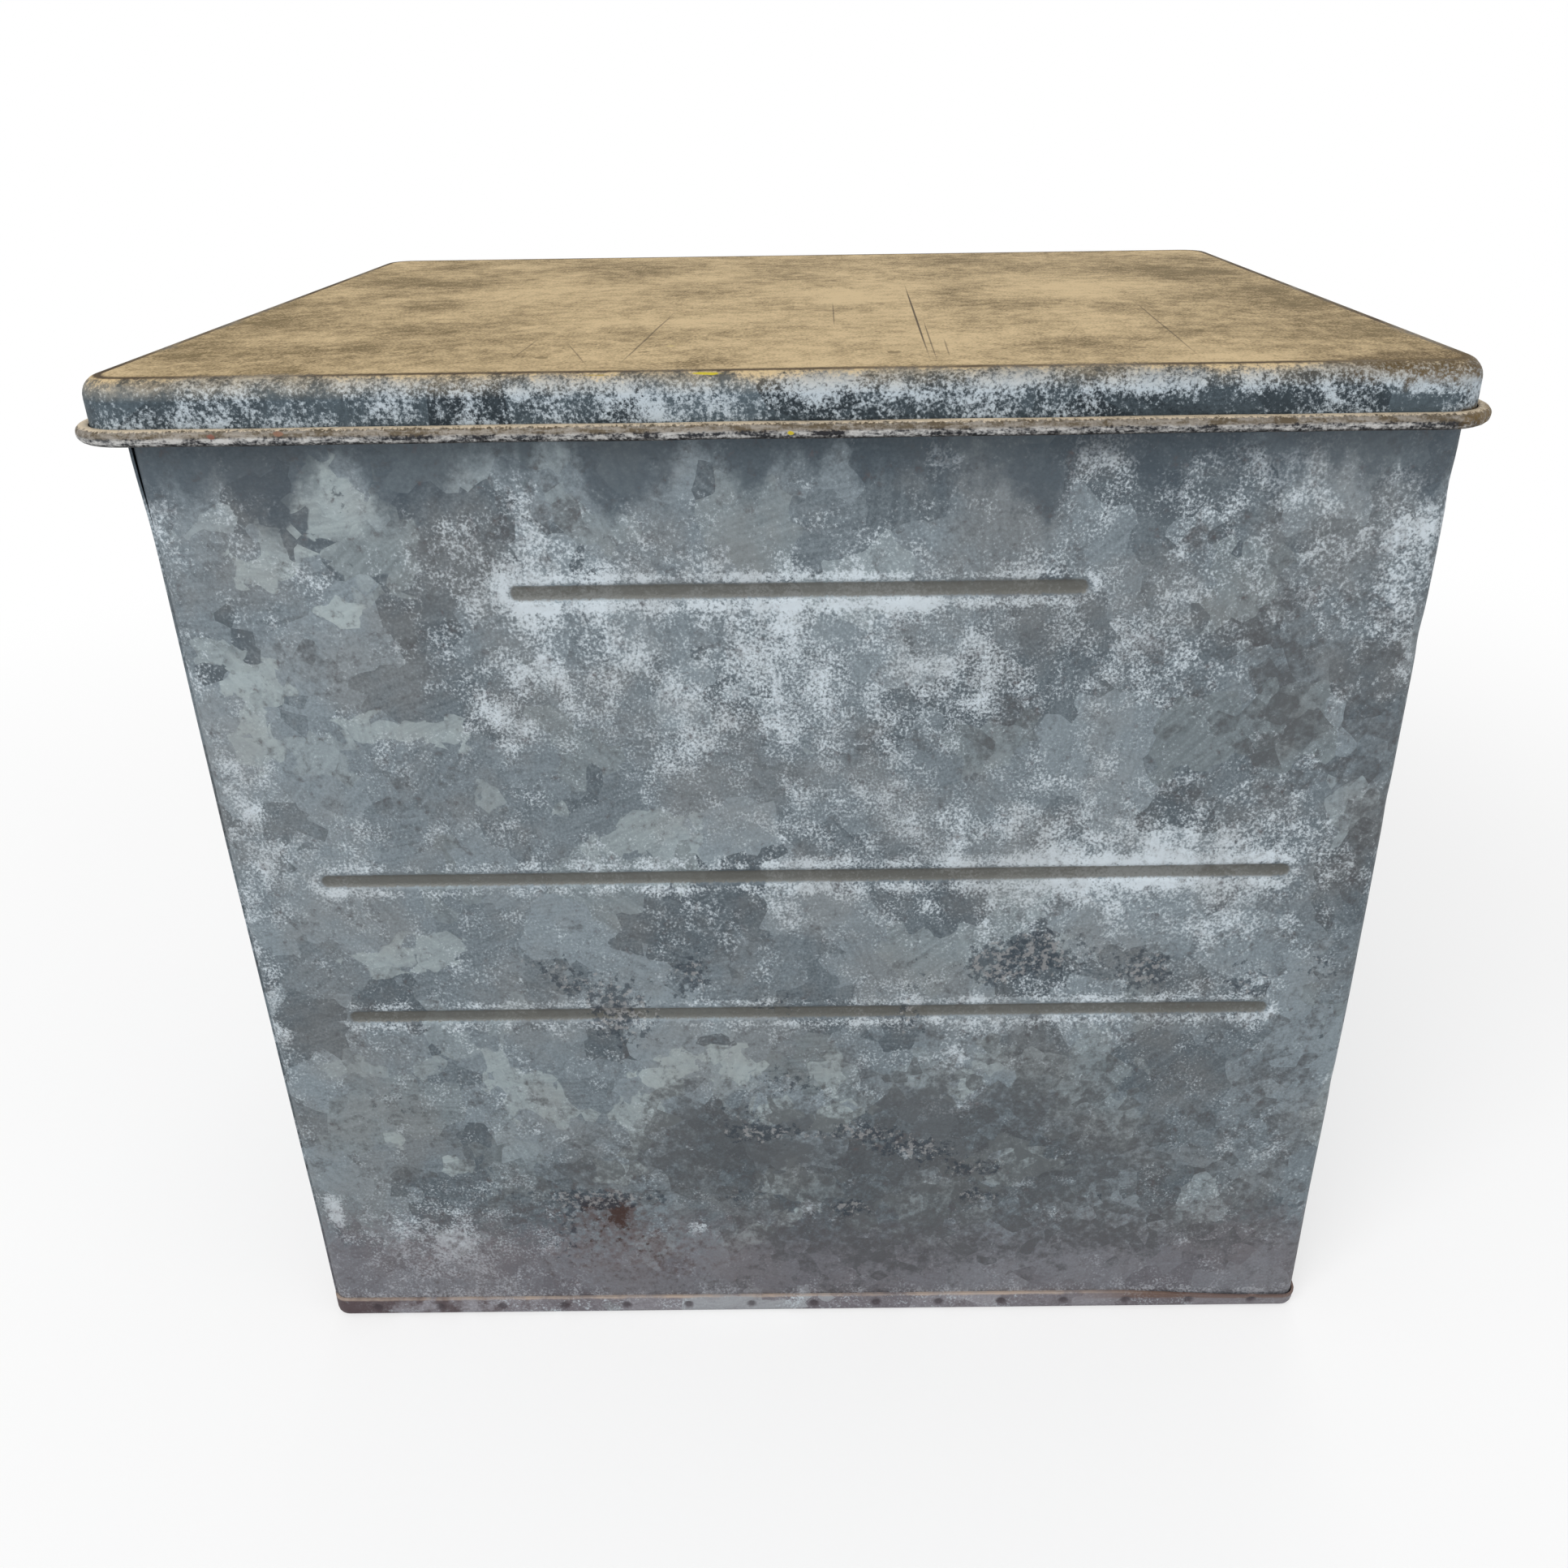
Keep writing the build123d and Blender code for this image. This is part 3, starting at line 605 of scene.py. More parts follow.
def pressed(x, z, width):
    """How deep a place lies in a pressed groove, and how much in the bloom beside it."""
    depth = halo = 0.0
    edge = width / 2
    for length, level in GROOVES:
        away = math.hypot(max(0.0, abs(x) - (length - width) / 2), z - level)
        depth = max(depth, 1 - smooth(away, 0.35 * edge, 1.15 * edge))
        halo = max(halo, 1 - smooth(abs(away - 1.5 * edge), 0.1 * edge, 0.9 * edge))
    return depth, halo


def body_material(finish):
    """Galvanised sheet steel, hot-dipped and left outdoors for decades.

    The eye gets big jagged zinc crystals, speckled white bloom, dirt in the pressed grooves, dark
    corroded specks and some rust, and a purple-brown stain towards the floor."""
    material, tree, place = new_material("galvanised_steel_weathered")
    marks = {
        name: node(tree, "Attribute", attribute_name=name).outputs["Fac"] for name in BODY_MARKS}
    edges = node(tree, "Group", (place,), node_tree=crystal_edges()).outputs
    leaf = amount(tree, 0.36, 0.41, 1.0, marks["leaf"], (edges["Chance"], 0.8))
    leaf = node(tree, "Math", (leaf, marks["leaf_light"]), operation="MULTIPLY")
    skin = add_skin(tree, finish, place, edges["Vector"], marks["bloom"], Flakes=leaf)
    # Dust warms the grey in patches about 30 mm across
    warm = node(tree, "TexNoise", (place, 1 / (30 * MM), 4.0, 0.65))
    coat = lay(tree, skin["Color"], finish.dust, 0.45, 0.62, 0.28, warm)
    # The marks are broken up into specks. The painted shade under the lid, which stands in for the
    # lid's shadow, comes down in tongues 14 mm wide and 60 mm long
    speck = node(tree, "TexNoise", (place, 1 / SPECK, 3.0, 0.65)).outputs["Color"]
    specks = node(tree, "SeparateColor", (speck,)).outputs
    height = node(tree, "SeparateXYZ", (place,)).outputs[2]
    drawn = node(tree, "VectorMath", (place, (70.0, 70.0, 16.0)), operation="MULTIPLY")
    tongues = node(tree, "TexNoise", (drawn, 1.0, 2.0, 0.6))
    painted_shade = amount(tree, 0.297, 0.314, 1.0, height, (tongues, 55 * MM), soft=True)
    foot = amount(tree, 0.056, 0.022, 1.0, height)
    # The stain follows the facets, so that it looks like dark crystals
    faceted = add_up(tree, specks[2], (edges["Chance"], 0.32))
    # Colour, where it starts and ends, strength, the noise under it, its mark and its weight
    for tint, start, end, strength, channel, mark, weight in (
        # The first row lays the painted shade under the lid
        (finish.painted_shade, 0.42, 1.35, 0.75, specks[2], painted_shade, 0.8),
        (finish.foot_tint, 0.60, 1.25, 0.55, specks[2], foot, 0.8),
        (finish.grime, 0.72, 1.17, 0.75, faceted, marks["grime"], 0.62),
        (finish.groove_dirt, 0.75, 1.15, 0.85, skin["Grain"], marks["press"], 0.9),
        (finish.rust_thin, 0.60, 0.95, 0.70, specks[2], marks["rust"], 0.45),
        (finish.rust, 0.86, 1.06, 0.90, specks[0], marks["rust"], 0.60),
        (finish.soot, 0.72, 0.84, 0.68, specks[0], marks["corrosion"], 0.34),
        (finish.rust_pale, 0.75, 0.86, 0.55, specks[1], marks["corrosion"], 0.28),
    ):
        coat = lay(tree, coat, tint, start, end, strength, channel, (mark, weight), soft=True)
    dull = add_up(tree, 0.48, (skin["Bloom"], 0.25))
    bare = amount(tree, 0.0, 1.0, 0.1, skin["Bloom"], least=0.45)
    close_material(tree, coat, dull, bare, skin["Grain"], 0.7, 0.22)
    return material


def make_body(context):
    sizes, finish = context.scene.cooler_sizes, context.scene.cooler_finish
    half_x, half_y, corner = sizes.body_width / 2, sizes.body_depth / 2, sizes.body_corner
    reach_x, reach_y = half_x - corner, half_y - corner
    # The front's grid is finer near the grooves
    pitch, near, corner_turns = 2.8 * MM, 4.2 * MM, 5
    lengths = sorted({length for length, _ in GROOVES})
    ends = [(side * length / 2, near, 0.7 * MM) for length in lengths for side in (-1, 1)]
    front = share(spread(-reach_x, reach_x, pitch, ends))
    side = share(spread(-reach_y, reach_y, 8 * MM))
    back = share(spread(-reach_x, reach_x, 9 * MM))
    columns = plan_columns(front, side, back, side, corner_turns)
    levels = spread(
        shell_low.z, shell_high.z, pitch, [(level, near, 0.6 * MM) for _, level in GROOVES])
    sheet = Sheet()
    sheet.join([
        sheet.ring(columns, half_x, half_y, corner, level, shell_high.z - level)
        for level in reversed(levels)])
    # A strip laps over the join, on the left wall just behind the front corner: y and z in mm
    strip = (-111.2, -113.5, -116, -118.5, -121, -123.5, -124.9, -125.2)
    rows = []
    for z in (289.8 - 281.5 * k / 60 for k in range(61)):
        row = []
        for y in strip:
            sprung = 0.7 * smooth(z, 262, 289) * smooth(-y, 116, 125)
            bent = max(0.0, -y * MM - reach_y)
            side_x = reach_x + math.sqrt(corner ** 2 - bent ** 2)
            row.append((-side_x - (0.6 + sprung) * MM, y * MM, z * MM))
        rows.append(sheet.row(row, [Vector((-1, 0, 0)) for y in strip]))
    sheet.join_open(rows)
    marks = {name: [] for name in BODY_MARKS}
    for point, outward in zip(sheet.points, sheet.outward):
        x, y, z = point
        xm, zm = x / MM, z / MM
        depth = halo = dent = 0.0
        leaf, light = NO_LEAF
        on_front = outward.y < -0.99
        if on_front:
            depth, halo = pressed(x, z, sizes.groove_width)
            for dx, dz, radius, deep in DENTS:
                dent += deep * math.exp(-((xm - dx) ** 2 + (zm - dz) ** 2) / (0.6 * radius) ** 2)
        elif outward.x > 0 and y < -0.118:
            # Knocks on the front right edge
            for level, deep in ((275, 0.35), (236, 0.35), (188, 0.2), (92, 0.2)):
                dent += deep * math.exp(-((zm - level) / 5) ** 2)
        # The wall is a little wavy away from its stiff ends
        loose = smooth(z, 0.012, 0.05) * (1 - smooth(z, 0.265, 0.287))
        wave = ripple(x, y, z, 0.075) * 0.35 + ripple(x, y, z, 0.03) * 0.1
        point += outward * ((wave * loose - dent) * MM - depth * sizes.groove_depth)
        if outward.y < 0 and x < RIGHT_EDGE:
            # Bloom, with the painted highlights on the left edge and the dents in it, and bloom
            # beside the grooves
            bloom = 0.5 * blot(xm, zm, BLOOM_AND_HIGHLIGHTS) + 0.30 * halo
            corrosion, rust, grime = (
                min(1.0, blot(xm, zm, spots)) for spots in (CORROSION, RUST, GRIME))
            if on_front:
                leaf, light = leaf_at(xm, zm)
        else:
            bloom = 0.08 + 0.6 * ripple(x, y + 0.3, z, 0.05) * smooth(z, 0.04, 0.12)
            corrosion = min(0.8, max(0.0, ripple(x, y, z + 2, 0.035) - 0.25) * 2.0)
            rust = max(0.0, ripple(x + 5, y, z, 0.05) - 0.2) * (1 - smooth(z, 0.02, 0.09))
            grime = max(0.0, ripple(x + 3, y + 1, z, 0.04)) * 0.7
        # More at the foot, and less just under the lid except to the right
        bloom += 0.35 * (1 - smooth(z, 0.008, 0.013))
        bloom -= 0.12 * smooth(z, 0.27, 0.288) * (1 - smooth(x, 0.03, 0.06))
        for name, value in zip(marks, (depth, bloom, corrosion, rust, grime, leaf, light)):
            marks[name].append(value)
    sheet.marks = marks
    piece = sheet.build("body_wrap")
    thicken(piece, sizes.body_sheet)
    settle(piece, body_material(finish))
    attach(piece, "box")
    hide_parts("outer_shell")


class COOLER_OT_body(bpy.types.Operator):
    """Bend the outer wrap of the body and press its front grooves"""

    bl_idname = "cooler.body"
    bl_label = "Body wrap"
    bl_options = {"REGISTER", "UNDO"}

    def execute(self, context):
        make_body(context)
        return {"FINISHED"}


def lid_material(finish):
    """Galvanised sheet steel, pressed and left under drips and dust.

    The eye gets a matt tan patina on the flat top, smudged, pitted and scratched, a dark line of
    dirt at the crease, and below it bare zinc with thick white bloom down to the rolled edge."""
    material, tree, place = new_material("galvanised_steel_patinated")
    run, smudge, bloom = (
        node(tree, "Attribute", attribute_name=name).outputs["Fac"]
        for name in ("run", "smudge", "bloom"))
    skin = add_skin(
        tree, finish, place, place, bloom, Dark="#2c343a", Light="#5a676f", Flake="#4c575e",
        Oxide="#bcc7cf")
    grain = skin["Grain"]
    # Patina: 35 mm smudges, 4.5 mm mottling and the skin's grain
    broad = node(tree, "TexNoise", (place, 1 / (35 * MM), 2.0, 0.55))
    middle = node(tree, "TexNoise", (place, 1 / MOTTLE, 3.0, 0.65))
    tone = add_up(tree, -2.12, (middle, 1.5), (broad, 1.7), (smudge, -0.36), (grain, 2.0))
    top = lay(tree, finish.tan_dark, finish.tan, 0.02, 0.5, 1.0, tone)
    top = lay(tree, top, finish.tan_light, 0.5, 0.95, 1.0, tone)
    # Pits with a dark middle and a worn rim, their edges strayed by the mottling
    pits = []
    for x, y, radius in PITS:
        away = node(
            tree, "VectorMath", (place, (x * MM, y * MM, cover_high.z)), operation="DISTANCE")
        pits.append(amount(
            tree, (radius + 4) * MM, (0.3 * radius + 4) * MM, 0.6, away, (middle, 8 * MM)))
    pitted = strongest(tree, pits)
    top = lay(tree, top, finish.tan_light, 0.0, 0.25, 0.5, pitted)
    top = lay(tree, top, finish.tan_dark, 0.25, 0.4, 0.75, pitted)
    # Scratches through the patina
    cuts = []
    for x0, y0, x1, y1, half_width, dark in SCRATCHES:
        away = how_far(
            tree, place, ((x0 + x1) / 2, (y0 + y1) / 2, cover_high.z / MM),
            (half_width, math.hypot(x1 - x0, y1 - y0) / 2, 7), math.atan2(x0 - x1, y1 - y0))
        cuts.append(amount(tree, 1.0, 0.6, dark, away))
    top = node(tree, "Mix", (strongest(tree, cuts), top, finish.crease), data_type="RGBA")
    # The patina thins out over the rounded edge, where dust veils the zinc
    cover = amount(
        tree, -12.6 * MM, -8.4 * MM, 0.0, run, (middle, -7 * MM), (grain, -7 * MM),
        (broad, -9 * MM), least=1.0, soft=True)
    dusty = lay(tree, "#5c574c", "#bcae95", 0.95, 1.45, 1.0, grain, (middle, 1.4))
    coat = lay(tree, skin["Color"], dusty, 8 * MM, 2 * MM, 0.9, run)
    coat = node(tree, "Mix", (cover, coat, top), data_type="RGBA")
    # Dirt along the crease
    crease = off_line(tree, add_up(tree, run, (middle, 0.8 * MM)), 1.0 * MM)
    varied = amount(tree, 0.38, 0.6, 0.95, broad, least=0.5)
    coat = lay(tree, coat, finish.crease, 1.5 * MM, 0.7 * MM, 1.0, crease, times=varied)
    # The rolled edge is mottled black and chalky, in marks 5 mm long and 1.2 mm high
    drawn = node(
        tree, "VectorMath", (place, [1 / (c * MM) for c in (5, 2, 1.2)]), operation="MULTIPLY")
    drawn = node(tree, "TexNoise", (drawn, 1.0, 3.0, 0.65))
    mottled = lay(tree, "#323134", "#c9c7c4", 1.3, 1.75, 1.0, grain, (drawn, 2.0))
    rolled = amount(tree, 16.2 * MM, 16.6 * MM, 0.9, run)
    coat = node(tree, "Mix", (rolled, coat, mottled), data_type="RGBA")
    # It's brown from its middle up, with a painted highlight in pale tan along its top and painted
    # shade below: heights in mm
    height = node(tree, "SeparateXYZ", (place,)).outputs[2]
    ragged = add_up(tree, height, (grain, 1.6 * MM))
    for low, high, strength, tint in (
        # Brown from the middle up, then the pale tan painted highlight along the top
        (292.8, 293.4, 0.75, "#6a5d48"), (294.45, 294.75, 0.9, "#dccbb0"),
        # Near-black painted shade on the underside of the rolled edge
        (291.9, 291.3, 0.9, "#211e1d"),
    ):
        coat = lay(tree, coat, tint, low * MM, high * MM, strength, ragged, times=rolled)
    # Painted shade where the skirt turns into the rolled edge
    seam_shade = off_line(tree, run, 14.9 * MM)
    coat = lay(tree, coat, "#333a3e", 1.3 * MM, 0.4 * MM, 0.75, seam_shade)
    # Golden-brown stain on the front right corner, on its rounded edge and on the rolled edge
    speckled = amount(tree, 0.46, 0.66, 0.25, grain, least=1.0)
    for where, reach, tint in (
        ((152, -128, 305.5), (30, 16, 6.5), "#5f4d2e"),
        ((165, -131, 292), (14, 14, 3.5), "#6f5b38"),
    ):
        away = how_far(tree, place, where, reach)
        coat = lay(tree, coat, tint, 1.75, 1.1, 0.9, away, (middle, 1.2), times=speckled, soft=True)
    # Flecks of yellow paint, and rust on the rolled edge: place, half length and half width in mm
    for where, long, wide, tint in (
        ((-21, -131.0, 304.6), 3.8, 0.65, "#cbbb2e"), ((-44, -131.2, 304.5), 6.0, 0.5, "#a8924a"),
        ((-32, -93, 305), 1.2, 0.7, "#dccb7e"), ((-1, -136.6, 291.8), 1.0, 0.6, "#cdb91f"),
        ((-134, -136.4, 292.6), 1.4, 0.8, "#7b5145"), ((-119, -136.4, 293.2), 1.2, 0.7, "#80604f"),
    ):
        away = how_far(tree, place, where, (long, wide, wide))
        coat = lay(tree, coat, tint, 2.05, 1.85, 0.9, away, (middle, 2.2))
    bare = amount(tree, 0.0, 1.0, 0.08, skin["Bloom"], least=0.45)
    bare = node(tree, "Mix", (cover, bare, 0.0))
    dull = add_up(tree, 0.6, (cover, 0.25))
    close_material(tree, coat, dull, bare, add_up(tree, grain, (middle, 1.5)), 0.7, 0.22, 0.2)
    return material


def make_lid(context):
    sizes, finish = context.scene.cooler_sizes, context.scene.cooler_finish
    half_x, half_y, corner = sizes.lid_width / 2, sizes.lid_depth / 2, sizes.lid_corner
    reach_x, reach_y = half_x - corner, half_y - corner
    notch = sizes.strap_width / 2 + NOTCH_ROOM
    notches = [side * sizes.strap_spacing / 2 for side in (-1, 1)]
    grid, corner_turns = 4.5 * MM, 8
    at_notches = [(middle, notch, 4 * MM) for middle in notches]
    across = share(spread(-reach_x, reach_x, grid, at_notches))
    along = share(spread(-reach_y, reach_y, grid))
    columns = plan_columns(across, along, across, along, corner_turns)
    edge, top, level = sizes.lid_edge, cover_high.z, HINGE[2]
    # Rows down the sheet: distance in from the skirt's face, height, distance from the crease
    rows = [(edge + flat * MM, top, -flat * MM) for flat in (3.5, 0.7)]
    rows.append((edge, top - 0.25 * MM, 0.0))
    for k in range(1, 10):
        a = math.radians(10 * k)
        rows.append((edge * (1 - math.sin(a)), top - edge * (1 - math.cos(a)), edge * a))
    notched = len(rows) + 1
    for height in (rows[-1][1] - 2 * MM, level + NOTCH_TOP, level + 2 * MM, level):
        rows.append((0.0, height, rows[-1][2] + rows[-1][1] - height))
    # The rolled edge turns round the wire
    curl, step = sizes.wire / 2 + CURL_GAP, math.radians(BEND_SWEEP / 20)
    for a in (math.radians(180 + BEND_SWEEP * k / 20) for k in range(1, 21)):
        rows.append((
            -curl - curl * math.cos(a), level + curl * math.sin(a), rows[-1][2] + curl * step))
    sheet = Sheet()
    rings = [
        sheet.ring(columns, half_x - inset, half_y - inset, corner - inset, height, run, LID_MIDDLE)
        for inset, height, run in rows]

    def kept(k):
        (x, _), facing = columns[k]
        (next_x, _), next_facing = columns[(k + 1) % len(columns)]
        centre = (x + next_x) / 2 * reach_x
        return facing != 90 or next_facing != 90 or all(abs(centre - m) >= notch for m in notches)

    sheet.join(rings[:notched + 1])
    sheet.join(rings[notched:], kept)
    sheet.plate(columns, rings[0], across, along, reach_x, reach_y, top, -9 * MM, LID_MIDDLE)
    smudge, bloom = [], []
    for point, outward, run in zip(sheet.points, sheet.outward, sheet.run):
        x, y, z = point
        xm, ym = x / MM, y / MM
        if run < 0.1 * MM:
            sag = 0.22 + 0.22 * ripple(x, y, 0, 0.06) + 0.12 * ripple(x, y, 0, 0.018)
            for px, py, radius in PITS:
                sag += 0.35 * math.exp(-((xm - px) ** 2 + (ym - py) ** 2) / (1.2 * radius) ** 2)
            point.z -= max(0.0, sag) * MM * (1 - smooth(run, -3 * MM, 0.0) * 0.7)
        else:
            # The skirt is a little beaten in, and so is the rolled edge
            beaten = 0.22 + 0.22 * ripple(x, y, z * 0.4, 0.035)
            point -= outward * beaten * MM * smooth(run, 0, 6 * MM)
            if run > 14 * MM:
                point.z += 0.18 * MM * ripple(x, y, 1.0, 0.028) + 0.12 * MM
        smudge.append(blot(xm, ym, SMUDGES) if run < 4 * MM else 0.0)
        # Bloom in patches, more high on the skirt and to the right, less on a dark stretch there
        dark_end = smooth(x, 0.050, 0.080) * (1 - smooth(x, 0.105, 0.130)) * smooth(-y, 0.12, 0.13)
        dark_end *= 1 - smooth(z, 0.2965, 0.3005)
        rightward = smooth(x, -0.08, 0.10) - 0.5
        bloom.append(
            0.35 + 0.38 * ripple(x * 0.5, y * 0.5, z, 0.011)
            + (0.08 + 0.16 * rightward) * smooth(z, 0.2965, 0.301) - 0.30 * dark_end)
    sheet.marks = {"smudge": smudge, "bloom": bloom}
    piece = sheet.build("lid_sheet")
    thicken(piece, sizes.body_sheet)
    settle(piece, lid_material(finish))
    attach(piece, "lid")
    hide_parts("lid_cover")


class COOLER_OT_lid(bpy.types.Operator):
    """Press the lid, with its rounded edge, skirt and rolled lower edge"""

    bl_idname = "cooler.lid"
    bl_label = "Lid"
    bl_options = {"REGISTER", "UNDO"}

    def execute(self, context):
        make_lid(context)
        return {"FINISHED"}


def worn_zinc(name, finish, bloom, dark, light, tint, strength, bare=0.45, dull=0.5):
    """Galvanised sheet steel, hot-dipped, in the shade where rain doesn't wash it.

    The eye gets the zinc skin with evener bloom, and stains in patches 18 mm across."""
    material, tree, place = new_material(name)
    jagged = node(tree, "Group", (place,), node_tree=crystal_edges())
    broad = node(tree, "TexNoise", (place, 1 / (45 * MM), 3.0, 0.6))
    bloom = add_up(tree, bloom - 0.6, (broad, 1.2))
    skin = add_skin(tree, finish, place, jagged, bloom, Dark=dark, Light=light)
    stain = node(tree, "TexNoise", (place, 1 / (18 * MM), 4.0, 0.65))
    coat = lay(
        tree, skin["Color"], tint, 0.42, 0.62, strength, stain, least=0.25 * strength, soft=True)
    metal = amount(tree, 0.0, 1.0, 0.1, skin["Bloom"], least=bare)
    rough = add_up(tree, dull, (skin["Bloom"], 0.25))
    close_material(tree, coat, rough, metal, skin["Grain"], 0.5, 0.12)
    return material


def pan_material(finish):
    """Galvanised sheet steel that stood on wet floors.

    The eye gets a purple-brown stain, rust at the left end of the front rim, a pale painted
    highlight along the rim's upper edge, and dirt with painted shade in the punched stakes."""
    material, tree, place = new_material("galvanised_steel_stained")
    jagged = node(tree, "Group", (place,), node_tree=crystal_edges())
    skin = add_skin(tree, finish, place, jagged, 0.1, Dark="#736f75", Light="#9e9da3")
    mottle = node(tree, "TexNoise", (place, 1 / (7 * MM), 4.0, 0.65))
    across, _, height = node(tree, "SeparateXYZ", (place,)).outputs
    left = amount(tree, -0.17, -0.06, 0.0, across, least=0.42)
    coat = lay(tree, skin["Color"], "#4b3a3c", 0.6, 0.85, 0.85, mottle, (left, 1.0), soft=True)
    coat = lay(tree, coat, "#5a5052", 0.03, 0.15, 0.45, across)
    # A pale line painted along the rim's upper edge as a highlight, broken in places
    breaks = node(tree, "TexNoise", (place, 1 / (20 * MM), 4.0, 0.75))
    breaks = amount(tree, 0.38, 0.62, 0.95, breaks, least=0.15)
    coat = lay(
        tree, coat, "#bfad9e", 7.7 * MM, 8.4 * MM, 1.0, height, (mottle, 1.6 * MM), times=breaks)
    # The punched stakes are darkened, in their middles the most: dirt, and painted shade in the
    # recess
    punched = node(tree, "Attribute", attribute_name="punched").outputs["Fac"]
    coat = lay(tree, coat, "#3f363b", 0.85, 1.6, 0.75, punched, (mottle, 1.4))
    # Rust along the lip where the rim has opened
    opened = amount(tree, 0.085, 0.11, 1.0, across)
    coat = lay(tree, coat, "#6e5140", 4.6 * MM, 5.4 * MM, 0.7, height, times=opened)
    close_material(tree, coat, 0.6, 0.3, mottle, 0.6, 0.15)
    return material


def shape_tree(name, inputs):
    """Start a geometry node tree with named length inputs."""
    tree = bpy.data.node_groups.new(name, "GeometryNodeTree")
    for way in ("INPUT", "OUTPUT"):
        tree.interface.new_socket("Geometry", in_out=way, socket_type="NodeSocketGeometry")
    for label in inputs:
        tree.interface.new_socket(label, in_out="INPUT", socket_type="NodeSocketFloat")
    return tree, node(tree, "NodeGroupInput").outputs


def run_tree(piece, build_tree, material, inputs):
    """Put a tree on the piece and set its inputs by their sockets' identifiers."""
    tree = build_tree(material, inputs)
    modifier = piece.modifiers.new(tree.name, "NODES")
    modifier.node_group = tree
    for item in tree.interface.items_tree:
        if item.in_out == "INPUT" and item.name in inputs:
            modifier[item.identifier] = inputs[item.name]


def end_tree(tree, geometry, material):
    """Close the tree with its instances made real and its material set."""
    real = node(tree, "GeometryNodeRealizeInstances", (geometry,))
    finished = node(tree, "GeometryNodeSetMaterial", {"Geometry": real, "Material": material})
    node(tree, "NodeGroupOutput", (finished,))
    return tree


def stake_tree(material, inputs):
    """Punch a row of round dents into each side of the pan's rim."""
    tree, given = shape_tree("punched_stakes", inputs)
    x, y, z = node(tree, "SeparateXYZ", (node(tree, "GeometryNodeInputPosition"),)).outputs
    facing = node(tree, "GeometryNodeInputNormal")
    to_side = node(tree, "SeparateXYZ", (facing,)).outputs[0]
    to_side = node(tree, "Math", (to_side,), operation="ABSOLUTE")
    on_side = node(tree, "Math", (to_side, 0.7), operation="GREATER_THAN")
    # Along the front and back a stake stands at the middle, along the sides a gap does
    half_pitch = node(tree, "Math", (given["Pitch"], 0.5), operation="MULTIPLY")
    least = node(tree, "Math", (half_pitch, -1.0), operation="MULTIPLY")
    shifted = node(tree, "Math", (y, half_pitch), operation="ADD")
    wrapped = node(tree, "Mix", (on_side, x, shifted))
    wrapped = node(tree, "Math", (wrapped, half_pitch, least), operation="WRAP")
    rise = node(tree, "Math", (z, given["Height"]), operation="SUBTRACT")
    away = node(tree, "CombineXYZ", (wrapped, rise))
    away = node(tree, "VectorMath", (away,), operation="LENGTH")
    core = node(tree, "Math", (given["Mouth radius"], 0.25), operation="MULTIPLY")
    dent = amount(tree, given["Mouth radius"], core, 1.0, away, soft=True)
    # No stake in the last stretch before a corner
    lengthwise = node(tree, "Math", (node(tree, "Mix", (on_side, x, y)),), operation="ABSOLUTE")
    limit = node(tree, "Mix", (on_side, given["Front reach"], given["Side reach"]))
    near = node(tree, "Math", (lengthwise, limit), operation="LESS_THAN")
    dent = node(tree, "Math", (dent, near), operation="MULTIPLY")
    push = node(tree, "Math", (dent, given["Depth"]), operation="MULTIPLY")
    push = node(tree, "Math", (push, -1.0), operation="MULTIPLY")
    inward = node(tree, "VectorMath", (facing, push), operation="SCALE")
    marked = node(
        tree, "GeometryNodeStoreNamedAttribute",
        {"Geometry": given["Geometry"], "Name": "punched", "Value": dent}, domain="POINT")
    moved = node(tree, "GeometryNodeSetPosition", {"Geometry": marked, "Offset": inward})
    return end_tree(tree, moved, material)


def make_pan(context):
    sizes, finish = context.scene.cooler_sizes, context.scene.cooler_finish
    half_x, half_y = sizes.pan_width / 2, sizes.pan_depth / 2
    corner, bend, rim = sizes.body_corner + 0.75 * MM, sizes.pan_bend, sizes.pan_rim
    # The grid is finer round the stakes
    grid, fine, corner_turns = 7 * MM, 0.55 * MM, 6
    pitch, mouth = sizes.stake_pitch, sizes.stake_radius + 0.3 * MM
    in_front = [(k * pitch, mouth, fine) for k in range(-7, 8)]
    on_side = [((k + 0.5) * pitch, mouth, fine) for k in range(-6, 6)]
    across = share(spread(corner - half_x, half_x - corner, grid, in_front))
    along = share(spread(corner - half_y, half_y - corner, grid, on_side))
    columns = plan_columns(across, along, across, along, corner_turns)
    rows = []
    for k in range(6):
        a = math.radians(18 * k)
        rows.append((bend * (1 - math.sin(a)), bend * (1 - math.cos(a))))
    rows += [(0.0, bend + (rim - bend) * k / 10) for k in range(1, 11)]
    sheet = Sheet()
    rings = [
        sheet.ring(columns, half_x - inset, half_y - inset, corner - inset, height, height)
        for inset, height in rows]
    sheet.join(rings)
    sheet.faces.append(tuple(rings[0]))
    sheet.flip()
    for point, outward in zip(sheet.points, sheet.outward):
        # The rim has sprung open and sagged at the right end of the front
        sprung = smooth(point.x, 0.092, 0.150) * smooth(-point.y, 0.110, 0.126)
        rise = smooth(point.z, 2.6 * MM, rim)
        point.z -= 2.0 * MM * sprung * rise
        point += Vector((0, -1, 0)) * 0.7 * MM * sprung * rise
        # Elsewhere it's a little beaten
        point += outward * rise * 0.12 * MM * noise.noise(point / 0.02)
    piece = sheet.build("bottom_tray")
    run_tree(piece, stake_tree, pan_material(finish), {
        "Pitch": pitch, "Height": sizes.stake_height, "Mouth radius": sizes.stake_radius,
        "Depth": sizes.stake_depth, "Front reach": 7.4 * pitch, "Side reach": 6.0 * pitch})
    thicken(piece, PAN_SHEET)
    settle(piece)
    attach(piece, "box")
    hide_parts("bottom_pan")


